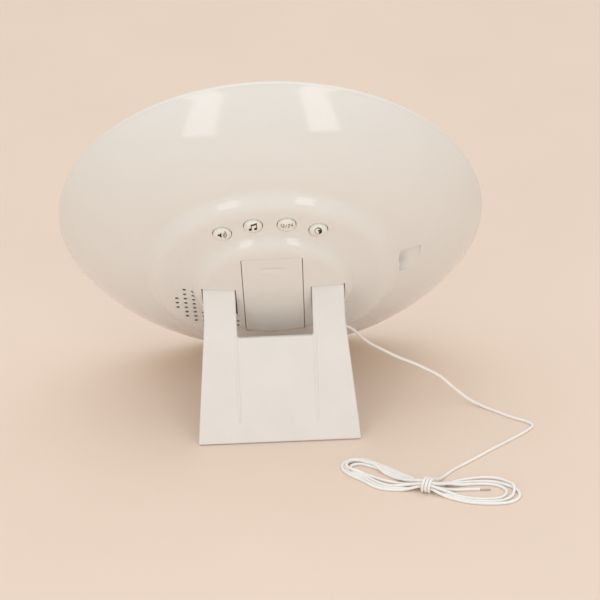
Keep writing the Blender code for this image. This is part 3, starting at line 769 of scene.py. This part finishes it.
def grille_hollow():
    """The extra room behind the speaker holes, where the casing is thin."""
    profile = [(60.0, 20.0)] + inside_profile(GRILLE_WALL)[8:] + [(0.0, 20.0)]
    hollow = add("grille_hollow", turned(profile, 96), place=BODY_PLACE)
    disc = depth_rod(*GRILLE_CENTRE, GRILLE_THINNING, GRILLE_RADIUS + 1.0, 48)
    change(hollow, disc, BODY_PLACE, "INTERSECT")
    return hollow


def make_casing(gloss):
    outside = [(93.2, 1.9), RIM_LIP] + PROFILE + [(0.0, SHELL_RIM[1])]
    casing = add("back_casing", turned(outside), gloss, BODY_PLACE)
    holes = [depth_rod(x, z, GRILLE_CUT, GRILLE_HOLE, 20) for x, z in grille_places()]
    change(casing, merged(holes), BODY_PLACE)
    hollows = (casing_hollow(), grille_hollow())
    for hollow in hollows:
        combine(casing, hollow, "DIFFERENCE")

    near, far = ARM_INNER - POCKET_GAP, ARM_OUTER + POCKET_GAP
    pockets = [prism(POCKET, side * near, side * far) for side in (-1, 1)]
    change(casing, merged(pockets), BODY_PLACE)
    span = (PIN_SPAN[0] - FIT, PIN_HOLE_END)
    holes = [along_hinge(side, span, PIN_RADIUS + FIT, 24) for side in (-1, 1)]
    change(casing, merged(holes), BODY_PLACE)
    change(casing, recess(0.0), BODY_PLACE)

    holes = [depth_rod(x, z, BUTTON_CUT, BUTTON_RADIUS + BUTTON_GAP, 64) for _, x, z in button_places()]
    bore_start, bore_end = JACK_BORE_SPAN
    holes.append(
        rod((bore_start, JACK_DEPTH, JACK_HEIGHT), (bore_end, JACK_DEPTH, JACK_HEIGHT), JACK_BORE, 48)
    )
    holes.append(depth_rod(*WIRE_HOLE, WIRE_CUT, WIRE_BORE, 32))
    holes += [depth_rod(x, z, SCREW_SPAN, SCREW_HOLE, 16) for x, z in post_places()]
    change(casing, merged(holes), BODY_PLACE)

    wide = DOOR_HALF_WIDTH + DOOR_GAP
    low, high = DOOR_BOTTOM - DOOR_GAP, DOOR_TOP + DOOR_GAP
    opening = rounded_rectangle(wide, low, high, DOOR_CORNER + DOOR_GAP, 6)
    change(casing, prism(opening, *DOOR_CUT, "Y"), BODY_PLACE)
    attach(casing, "body")
    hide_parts("rear_shell")


def rounded_rectangle(half_width, bottom, top, radius, steps):
    """(x, z) points of an upright rectangle about x = 0 with round corners."""
    x, low, high = half_width - radius, bottom + radius, top - radius
    return (
        arc((x, high), radius, 90, 0, steps)
        + arc((x, low), radius, 0, -90, steps)
        + arc((-x, low), radius, -90, -180, steps)
        + arc((-x, high), radius, 180, 90, steps)
    )


def make_door(gloss):
    """The battery door: a sheet that follows the back's surface, with rounded edges and a thumb mark."""
    columns, rows = 44, 100
    middle = (DOOR_TOP + DOOR_BOTTOM) / 2
    half_height = (DOOR_TOP - DOOR_BOTTOM) / 2
    fine = [DOOR_EDGE * k / 4 for k in range(5)]

    def spaced(half, count):
        """Places from -half to half, closer together along both edges."""
        inner = half - DOOR_EDGE
        return (
            [-half + f for f in fine[:-1]]
            + [inner * (2 * k / count - 1) for k in range(count + 1)]
            + [half - f for f in fine[:-1][::-1]]
        )

    shape = bmesh.new()
    mark_width, mark_height = THUMB_MARK_HALF_SIZE
    grid = []
    for z in spaced(half_height, rows):
        line = []
        for x in spaced(DOOR_HALF_WIDTH, columns):
            inward = DOOR_CORNER - min(DOOR_HALF_WIDTH - abs(x), half_height - abs(z), DOOR_CORNER)
            corner_x = max(abs(x) - (DOOR_HALF_WIDTH - DOOR_CORNER), 0.0)
            corner_z = max(abs(z) - (half_height - DOOR_CORNER), 0.0)
            reach = math.hypot(corner_x, corner_z)
            pull = inward / reach if reach > inward > 0 else 1.0
            new_x = math.copysign(abs(x) - corner_x * (1 - pull), x)
            new_z = math.copysign(abs(z) - corner_z * (1 - pull), z)
            edge = min(DOOR_CORNER - reach * pull, DOOR_EDGE) / DOOR_EDGE if reach else 1.0
            drop = DOOR_EDGE * (1 - math.sqrt(max(0.0, 1 - (1 - edge) ** 2)))
            across = abs(new_x) / mark_width
            down = abs(new_z + middle - THUMB_MARK_HEIGHT) / mark_height
            mark = THUMB_MARK_DEPTH * ease(1 - down) * ease(1.6 - 1.6 * across)
            depth = depth_at(new_x, new_z + middle) - drop - mark
            line.append(shape.verts.new((new_x, depth, new_z + middle)))
        grid.append(line)
    for low, high in zip(grid, grid[1:]):
        for k in range(len(low) - 1):
            shape.faces.new((low[k], low[k + 1], high[k + 1], high[k]))
    door = add("battery_cover", shape, gloss, BODY_PLACE)
    thick = door.modifiers.new("thickness", "SOLIDIFY")
    thick.thickness = DOOR_THICKNESS * MM
    thick.offset = -1.0
    thick.use_even_offset = True
    if door.data.polygons[len(door.data.polygons) // 2].normal.y < 0:
        door.data.flip_normals()
    settle(door)
    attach(door, "door")

    hooks = [
        prism(HOOK_SIDE, side * HOOK_X - HOOK_HALF_WIDTH, side * HOOK_X + HOOK_HALF_WIDTH)
        for side in (-1, 1)
    ]
    hook = rounded(add("battery_cover_hooks", merged(hooks), gloss, BODY_PLACE), 0.2, 2)
    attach(hook, "door")
    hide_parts("battery_door")


# ---- buttons and their marks


def cap_height(x, z):
    """The domed top of a button cap above its ring, at a place from its axis."""
    share = min(math.hypot(x, z) / BUTTON_RADIUS, 1.0)
    return BUTTON_EDGE + (BUTTON_CROWN - BUTTON_EDGE) * (1 - share**BUTTON_ROUNDING)


def stroke(points, width):
    """A flat line of one width along (x, z) points, as a bmesh with its vertices at y = 0."""
    shape = bmesh.new()
    points = [Vector(p) for p in points]
    pairs = []
    for k, point in enumerate(points):
        along = (points[min(k + 1, len(points) - 1)] - points[max(k - 1, 0)]).normalized()
        side = Vector((-along.y, along.x)) * width / 2
        pairs.append([shape.verts.new((q.x, 0.0, q.y)) for q in (point - side, point + side)])
    for first, second in zip(pairs, pairs[1:]):
        shape.faces.new((first[0], second[0], second[1], first[1]))
    return shape


def patch(points):
    """A flat filled outline of (x, z) points."""
    shape = bmesh.new()
    shape.faces.new([shape.verts.new((x, 0.0, z)) for x, z in points])
    return shape


def digit_strokes(digit, centre, size, width):
    """Straight strokes of a seven-segment figure, drawn to read correctly from behind the body."""
    lit = {"0": "abcdef", "1": "bc", "2": "abged", "3": "abgcd", "4": "fgbc", "7": "abc"}[digit]
    wide, tall = size
    left, right = -wide / 2, wide / 2
    ends = {
        "a": ((left, tall), (right, tall)),
        "b": ((right, tall), (right, 0)),
        "c": ((right, 0), (right, -tall)),
        "d": ((left, -tall), (right, -tall)),
        "e": ((left, 0), (left, -tall)),
        "f": ((left, tall), (left, 0)),
        "g": ((left, 0), (right, 0)),
    }
    return [
        stroke([(centre[0] + p[0], centre[1] + p[1]) for p in ends[name]], width)
        for name in lit
    ]


def volume_mark():
    horn = [(-1.7, 0.35), (-1.7, -0.35), (-1.1, -0.35), (-0.2, -1.15), (-0.2, 1.15), (-1.1, 0.35)]
    waves = [stroke(arc((-0.2, 0.0), r, -48, 48), 0.27) for r in (0.75, 1.3, 1.85)]
    return [patch(horn), *waves]


def sound_mark():
    heads = [patch(arc((x, z), 0.62, 0, 360, 20)[:-1]) for x, z in ((-1.1, -1.05), (0.95, -0.7))]
    stems = [stroke([(x, z), (x, top)], 0.34) for x, z, top in ((-0.68, -1.0, 1.0), (1.37, -0.65, 1.35))]
    beam = [(-0.81, 0.55), (-0.81, 1.1), (1.5, 1.5), (1.5, 0.95)]
    return [*heads, *stems, patch(beam)]


def hour_mark():
    strokes = []
    for place, figure in ((-2.35, "1"), (-1.2, "2"), (0.85, "2"), (2.0, "4")):
        strokes += digit_strokes(figure, (place, 0.0), (0.55, 0.66), 0.2)
    return [*strokes, stroke([(-0.5, -0.75), (0.1, 0.75)], 0.17)]


def brightness_mark():
    ring = stroke(arc((0.0, 0.0), 1.35, 0, 360, 40), 0.2)
    half = patch(arc((0.0, 0.0), 1.35, -75, 105, 24))
    return [ring, half]


MARKS = {
    "button_volume": volume_mark,
    "button_sound": sound_mark,
    "button_hour_format": hour_mark,
    "button_brightness": brightness_mark,
}


def make_buttons(cap_paint, ink):
    steps = 14
    radii = [BUTTON_RADIUS * k / steps for k in range(steps)]
    dome = [(r, cap_height(r, 0.0)) for r in radii] + [(BUTTON_RADIUS, BUTTON_EDGE - 0.15)]
    for name, x, z in button_places():
        place = BODY_PLACE @ Matrix.Translation((x, BUTTON_DEPTH, z))
        cap = add(name + "_dome", turned(dome + BUTTON_STEM, 64), cap_paint, place)
        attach(cap, name + "_cap")
        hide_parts(name)

        mark = merged(MARKS[name]())
        bmesh.ops.triangulate(mark, faces=mark.faces)
        bmesh.ops.subdivide_edges(mark, edges=mark.edges, cuts=2, use_grid_fill=True)
        flipped = Matrix.Diagonal((-MARK_SCALE[0], 1.0, MARK_SCALE[1], 1.0))
        bmesh.ops.transform(mark, matrix=flipped, verts=mark.verts)
        for vertex in mark.verts:
            vertex.co.z += MARK_LIFT
            vertex.co.y = cap_height(vertex.co.x, vertex.co.z) + 0.03
        mark.normal_update()
        printed = add(name + "_mark", mark, ink, place)
        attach(printed, name + "_cap")


# ---- front


def make_front(paints):
    bead = arc(BEAD_CENTRE, BEAD_RADIUS, 90, -90, 16)
    ring = bead + [(92.6, -1.0), (91.5, -1.3), (90.0, -1.75), (88.9, -2.1), (88.6, -2.0), (88.6, -0.3)]
    ring += [(86.4, -0.3), (86.4, 1.2), (88.3, 1.2), (88.3, 4.0), (89.6, 4.0), (89.6, 1.8)]
    round_piece("rim_ring", ring, paints["gloss"], "front_ring")

    lit_front = [(r, -y) for r, y in bulge((88.3, 2.4), (31.0, 10.4), 2.2, 30)]
    lit_back = [(r, -y) for r, y in bulge((88.3, 0.6), (31.0, 8.6), 2.2, 30)]
    round_piece("opal_front", lit_front + lit_back[::-1], paints["opal"], "light_diffuser")

    collar = [(30.45, -10.6), (30.6, -10.45), (30.6, 11.6), (25.0, 11.6), (25.0, 10.4), (29.0, 10.4)]
    collar += [(29.0, 2.5), (0.0, 2.5), (0.0, 1.0), (27.0, 1.0), (27.0, -8.9), (29.0, -8.9)]
    collar += [(29.0, -10.45), (29.15, -10.6)]
    round_piece("window_collar", collar, paints["gloss"], "display_collar")

    lens_front = [(r, -y) for r, y in bulge((28.5, 10.9), (0.0, 11.8), 0.25, 10)]
    lens = [(28.7, -10.7)] + lens_front[:-1] + [(0.0, -11.8), (0.0, -9.2), (28.5, -9.2), (28.7, -9.4)]
    round_piece("window", lens, paints["smoke"], "display_lens")


def round_piece(name, profile, material, node):
    piece = add(name, turned(profile), material, BODY_PLACE)
    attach(piece, "body")
    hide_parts(node)


def make_digits(digit_paint):
    """Four plain figures and a colon on the front of the clock module."""
    strokes = []
    for place, figure in ((-14.5, "0"), (-6.5, "7"), (6.5, "3"), (14.5, "0")):
        strokes += digit_strokes(figure, (place, 0.0), (4.6, 5.0), 0.9)
    strokes += [patch(arc((0.0, z), 0.6, 0, 360, 16)[:-1]) for z in (-2.2, 2.2)]
    digits = merged(strokes)
    bmesh.ops.transform(digits, matrix=Matrix.Translation((0.0, CLOCK_FACE, 0.0)), verts=digits.verts)
    piece = add("clock_digits", digits, digit_paint, BODY_PLACE)
    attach(piece, "body")


# ---- stand


def half_width(z):
    share = max(0.0, (z / foot_end(PLATE_OUTER) - FLARE_START) / (1 - FLARE_START))
    return ARM_OUTER + (FOOT_HALF_WIDTH - ARM_OUTER) * share


def make_stand(satin):
    """The fold-out leg: a flat plate with soft edges, a knuckle on each arm and a bar along its foot."""
    foot = foot_end(PLATE_OUTER)
    right = [(half_width(foot * k / 24), foot * k / 24) for k in range(25)]
    corner = arc((ARM_INNER - ARCH_CORNER, ARCH_TOP + ARCH_CORNER), ARCH_CORNER, 0, -90, 6)
    arch = [(ARM_INNER, 0.0)] + corner
    half = arch[::-1] + right
    outline = [(-x, z) for x, z in half] + half[::-1]
    plate = add("leg_plate", prism(outline, PLATE_INNER, PLATE_OUTER, "Y"), satin, STAND_PLACE)
    rounded(plate, PLATE_EDGE, 4, 40)

    knuckles = [
        rod((side * (ARM_INNER + 0.1), 0, 0), (side * (ARM_OUTER - 0.1), 0, 0), KNUCKLE_RADIUS - 0.02, 48)
        for side in (-1, 1)
    ]
    knuckle = add("leg_knuckles", merged(knuckles), satin, STAND_PLACE)
    end = PIN_SPAN[1] + FIT
    for piece in (knuckle, plate):
        bores = [rod((side * 14.0, 0, 0), (side * end, 0, 0), PIN_RADIUS + FIT, 24) for side in (-1, 1)]
        change(piece, merged(bores), STAND_PLACE)

    inside, tall = FOOT_BAR
    wide = FOOT_HALF_WIDTH - 2.0
    side_view = [
        (0.0, foot + 0.6),
        (0.0, foot + tall),
        (inside, foot + tall - 2.0),
        (inside, foot_end(inside)),
        (-0.2, foot_end(-0.2)),
    ]
    bar = add("leg_foot_bar", prism(side_view, -wide, wide), satin, STAND_PLACE)
    back = BODY_Y + HINGE_Y + PLATE_OUTER * math.cos(STAND_LEAN) - foot * math.sin(STAND_LEAN)
    for sign in (-1, 1):
        low, high = sorted(sign * x for x in PAD_SPAN)
        bottom, top = PAD_SOCKET_HEIGHTS
        socket = ((low, back - PAD_FROM_BACK[0], bottom), (high, back - PAD_FROM_BACK[1], top))
        change(bar, box(*socket), WORLD)
        change(plate, box(*socket), WORLD)
    even_shading(plate)

    shapes = []
    for side in (-1, 1):
        line = [(side * RIB_X, z) for z in np.linspace(*RIB_ENDS, 13)]
        shape = stroke(line, RIB_WIDTH)
        raised = bmesh.ops.extrude_face_region(shape, geom=shape.faces[:])
        lifted = [v for v in raised["geom"] if isinstance(v, bmesh.types.BMVert)]
        bmesh.ops.translate(shape, vec=(0.0, RIB_HEIGHT, 0.0), verts=lifted)
        bmesh.ops.translate(shape, vec=(0.0, PLATE_OUTER - 0.1, 0.0), verts=shape.verts)
        shapes.append(shape)
    rib = rounded(add("leg_ribs", merged(shapes), satin, STAND_PLACE), 0.22, 3)

    for piece in (plate, knuckle, bar, rib):
        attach(piece, "leg")
    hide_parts("stand")


# ---- aerial


def flat_axis(start, end):
    """The level direction between two places, and the one across it on the side away from the stand."""
    along = np.array((end[0] - start[0], end[1] - start[1], 0.0))
    along /= np.linalg.norm(along)
    across = np.array((along[1], -along[0], 0.0))
    return along, across if across[1] < 0 else -across


def lobe_points(tip, loop, slots):
    """A loop's points: in the waist's bundle near the waist, and down on the floor away from it."""
    along, across = flat_axis(WAIST, tip)
    farthest = max(range(len(loop)), key=lambda k: loop[k][0])
    for k, (out, side, *lift) in enumerate(loop):
        slot = slots[0] if k <= farthest else slots[-1]
        down = ease((out - 4.0) / 18.0)
        height = (WAIST[2] + slot[1]) * (1 - down) + (WIRE_DIAMETER / 2 + sum(lift)) * down
        yield np.array((WAIST[0], WAIST[1], height)) + along * out + across * side


def hank_points():
    """Control points of the hank, and whether each is held still while the rest settles."""
    waist = np.array(WAIST)
    along, across = flat_axis(RIGHT_TIP, LEFT_TIP)
    up = np.array((0.0, 0.0, 1.0))
    slots = [
        (BUNDLE_RADIUS * math.cos(math.radians(a)), BUNDLE_RADIUS * math.sin(math.radians(a)))
        for a in (30, -30, 90, 210, 270, 150)
    ]
    upper, lower, centre = slots[:3], slots[3:], (0.0, 0.0)

    points = [(place, False) for place in WIRE_RISE]
    first, last = WRAP_ANGLES
    for angle in range(first, last + 1, 15):
        turn = math.radians(angle)
        late = max(0.0, (angle - last) / WRAP_LEAVES + 1)
        out = WRAP_START + WRAP_PITCH * turn / math.tau + 3.0 * late * late
        ring = up * math.cos(turn) - across * math.sin(turn)
        points.append((waist + along * out + ring * WRAP_RADIUS, late == 0))

    def through_waist(slot, direction):
        for out in (HANK_FREEZE, 0.0, -HANK_FREEZE):
            points.append((waist + along * out * direction + across * slot[0] + up * slot[1], True))

    for k, loop in enumerate(LEFT_LOOPS):
        slot_in = upper[k - 1] if k else (2.6, 0.3)
        slot_out = lower[k] if k < len(lower) else centre
        points += [(p, False) for p in lobe_points(LEFT_TIP, loop, (slot_in, slot_out))]
        through_waist(slot_out, 1)
        if k < len(RIGHT_LOOPS):
            points += [(p, False) for p in lobe_points(RIGHT_TIP, RIGHT_LOOPS[k], (slot_out, upper[k]))]
            through_waist(upper[k], -1)
    points += [(p, False) for p in lobe_points(RIGHT_TIP, FREE_END, (centre,))]
    return points


def resampled(points, held, gap):
    """Even spacing along a smooth route, and which of the new points are held."""
    steps = 16
    fine = np.array(smooth_route(points, steps))
    fixed = np.zeros(len(fine))
    for k in range(len(points) - 1):
        if held[k] and held[k + 1]:
            fixed[k * steps : (k + 1) * steps + 1] = 1
    so_far = np.concatenate(([0], np.cumsum(np.linalg.norm(np.diff(fine, axis=0), axis=1))))
    at = np.linspace(0, so_far[-1], int(so_far[-1] / gap) + 1)
    even = np.stack([np.interp(at, so_far, fine[:, axis]) for axis in range(3)], axis=1)
    return even, np.interp(at, so_far, fixed) > 0.5


def settled(points, held):
    """Lets the wire sag, straighten and push itself apart, until it lies on the floor and on itself."""
    apart, rounds, sag = WIRE_DIAMETER * 1.045, 240, 0.006
    points = points.copy()
    free = (~held).astype(float)[:, None]
    index = np.arange(len(points))
    lengths = np.linalg.norm(np.diff(points, axis=0), axis=1)
    for turn in range(rounds):
        if turn % 8 == 0:
            gaps = np.linalg.norm(points[:, None] - points[None], axis=2)
            one, two = np.nonzero((gaps < 2 * WIRE_DIAMETER) & (index[None] - index[:, None] > 6))
            weights = np.maximum(free[one] + free[two], 1e-9)
        points[:, 2] -= sag * free[:, 0]

        smooth = points.copy()
        smooth[2:-2] = (4 * points[1:-3] + 4 * points[3:-1] - points[:-4] - points[4:]) / 6
        points += free * (smooth - points) * 0.6

        between = points[one] - points[two]
        distance = np.linalg.norm(between, axis=1)[:, None] + 1e-9
        push = between * np.maximum(apart - distance, 0) / distance
        move = np.zeros_like(points)
        touching = np.ones((len(points), 1))
        for here, sign in ((one, 1.0), (two, -1.0)):
            np.add.at(move, here, sign * push * free[here] / weights)
            np.add.at(touching, here, (distance < apart) * 0.5)
        points += free * move / touching * 0.7

        for start in (0, 1):
            k = np.arange(start, len(points) - 1, 2)
            link = points[k + 1] - points[k]
            long = np.linalg.norm(link, axis=1)
            stretch = ((long - lengths[k]) / long)[:, None]
            share = 0.7 * link * stretch / np.maximum(free[k] + free[k + 1], 1e-9)
            points[k] += share * free[k]
            points[k + 1] -= share * free[k + 1]
        points[:, 2] = np.where(held, points[:, 2], np.maximum(points[:, 2], WIRE_DIAMETER / 2))
    return points


def add_tube(name, route, radius, material):
    curve = bpy.data.curves.new(name, "CURVE")
    curve.dimensions = "3D"
    curve.bevel_depth = radius * MM
    curve.bevel_resolution = 4
    curve.use_fill_caps = True
    line = curve.splines.new("POLY")
    line.points.add(len(route) - 1)
    for point, place in zip(line.points, route):
        point.co = (*(Vector(place) * MM), 1.0)
    curve.materials.append(material)
    tube = bpy.data.objects.new(name, curve)
    bpy.context.scene.collection.objects.link(tube)
    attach(tube, "body")
    return tube


def make_wire(vinyl, core):
    y, z = leaned(WIRE_HOLE[1], WIRE_START)
    start = (WIRE_HOLE[0], BODY_Y + y, BODY_Z + z)
    straight = [(start, True)] + [(place, True) for place in WIRE_ROUTE]
    rows = straight + hank_points()
    points, held = resampled([place for place, _ in rows], [fixed for _, fixed in rows], 1.1)
    route = smooth_route(settled(points, held), 2)
    wire = add_tube("aerial_wire", route, WIRE_DIAMETER / 2, vinyl)
    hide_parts("antenna_wire", "antenna_hank")

    onward = route[-1] - route[-4]
    onward /= np.linalg.norm(onward)
    ends = [route[-1] - onward, route[-1] + onward * STRIPPED_END]
    tip = add_tube("aerial_bare_end", ends, CORE_RADIUS, core)
    sum(np.linalg.norm(b - a) for a, b in zip(route, route[1:])) * MM


# ---- carried-over nodes, stage


def paint_nodes(paints):
    """New materials for the pieces that stay as the model has them."""
    looks = {
        "gloss": ["light_reflector", "led_ring_board", "battery_tray"],
        "satin": ["antenna_grommet"],
        "black": ["clock_display", "dc_jack", "speaker_frame"] + [f"tact_switch_{k}" for k in range(1, 5)],
        "board": ["display_board", "touch_board", "main_board", "button_board"],
        "steel": ["speaker_magnet", "stand_pin_left", "stand_pin_right"]
        + [f"reflector_screw_{k}" for k in range(1, 5)]
        + [f"battery_{kind}_{k}" for kind in ("spring", "contact") for k in (1, 2)],
        "paper": ["speaker_cone"],
        "sleeve": ["battery_cell_1", "battery_cell_2"],
        "rubber": ["stand_pad_left", "stand_pad_right", "rim_foot_left", "rim_foot_right"],
    }
    for look, names in looks.items():
        for name in names:
            slots = NODES[name].material_slots
            for slot in slots:
                slot.material = paints[look]
            if not slots:
                NODES[name].data.materials.append(paints[look])


def make_stage():
    paper = Paint("floor_paper", (0.825, 0.684, 0.59), 0.75)
    paper.vary_colour(paper.noise(90.0, 3.0), (0.818, 0.678, 0.584), (0.835, 0.692, 0.60))
    paper.bump(paper.noise(1.2, 4.0), 0.02, 0.5)
    shape = bmesh.new()
    bmesh.ops.create_grid(shape, x_segments=1, y_segments=1, size=2500.0)
    floor = add("floor", shape, paper.material)

    world = bpy.data.worlds.new("soft_room")
    bpy.context.scene.world = world
    world.use_nodes = True
    background = world.node_tree.nodes["Background"]
    background.inputs["Color"].default_value = (*ROOM_COLOUR, 1.0)
    background.inputs["Strength"].default_value = ROOM_STRENGTH
    bpy.context.scene.view_settings.view_transform = "Standard"


def softbox(name, place, aim, size, power, colour=(1.0, 1.0, 1.0)):
    light = bpy.data.lights.new(name, "AREA")
    light.shape = "RECTANGLE"
    light.size, light.size_y = (side * MM for side in size)
    light.energy = power
    light.color = colour
    lamp = bpy.data.objects.new(name, light)
    bpy.context.scene.collection.objects.link(lamp)
    lamp.location = Vector(place) * MM
    facing = (Vector(aim) - Vector(place)).normalized()
    lamp.rotation_euler = facing.to_track_quat("-Z", "Y").to_euler()


def make_lights():
    """Two upright strips behind the camera, which the gloss shows, and a wide soft light overhead."""
    aim = Vector((*STRIP_AIM, STRIP_MIDDLE))
    for name, (bearing, width) in STRIPS.items():
        turn = math.radians(bearing)
        place = aim + Vector((math.sin(turn), math.cos(turn), 0.0)) * STRIP_DISTANCE
        softbox(name, place, aim, (width, STRIP_HEIGHT), STRIP_POWER)
    below = (*OVERHEAD_PLACE[:2], 0.0)
    softbox("overhead", OVERHEAD_PLACE, below, OVERHEAD_SIZE, OVERHEAD_POWER, OVERHEAD_COLOUR)


def make_camera():
    data = bpy.data.cameras.new("camera")
    data.lens = CAMERA_LENS
    data.sensor_width = 36.0
    data.clip_start = 0.01
    data.clip_end = 20.0
    camera = bpy.data.objects.new("camera", data)
    bpy.context.scene.collection.objects.link(camera)
    place, aim = Vector(CAMERA_PLACE), Vector(CAMERA_AIM)
    back = (place - aim).normalized()
    level = Vector((0.0, 0.0, 1.0)).cross(back).normalized()
    upright = back.cross(level)
    right = level * math.cos(CAMERA_ROLL) + upright * math.sin(CAMERA_ROLL)
    up = back.cross(right)
    turn = Matrix((right, up, back)).transposed().to_4x4()
    camera.matrix_world = Matrix.Translation(place * MM) @ turn
    bpy.context.scene.camera = camera


def main():
    make_camera()
    paints = make_paints()
    make_wire(paints["vinyl"], paints["steel"])
    make_casing(paints["gloss"])
    make_door(paints["gloss"])
    make_buttons(paints["cap"], paints["ink"])
    make_front(paints)
    make_digits(paints["digit"])
    make_stand(paints["satin"])
    paint_nodes(paints)
    make_stage()
    make_lights()


main()
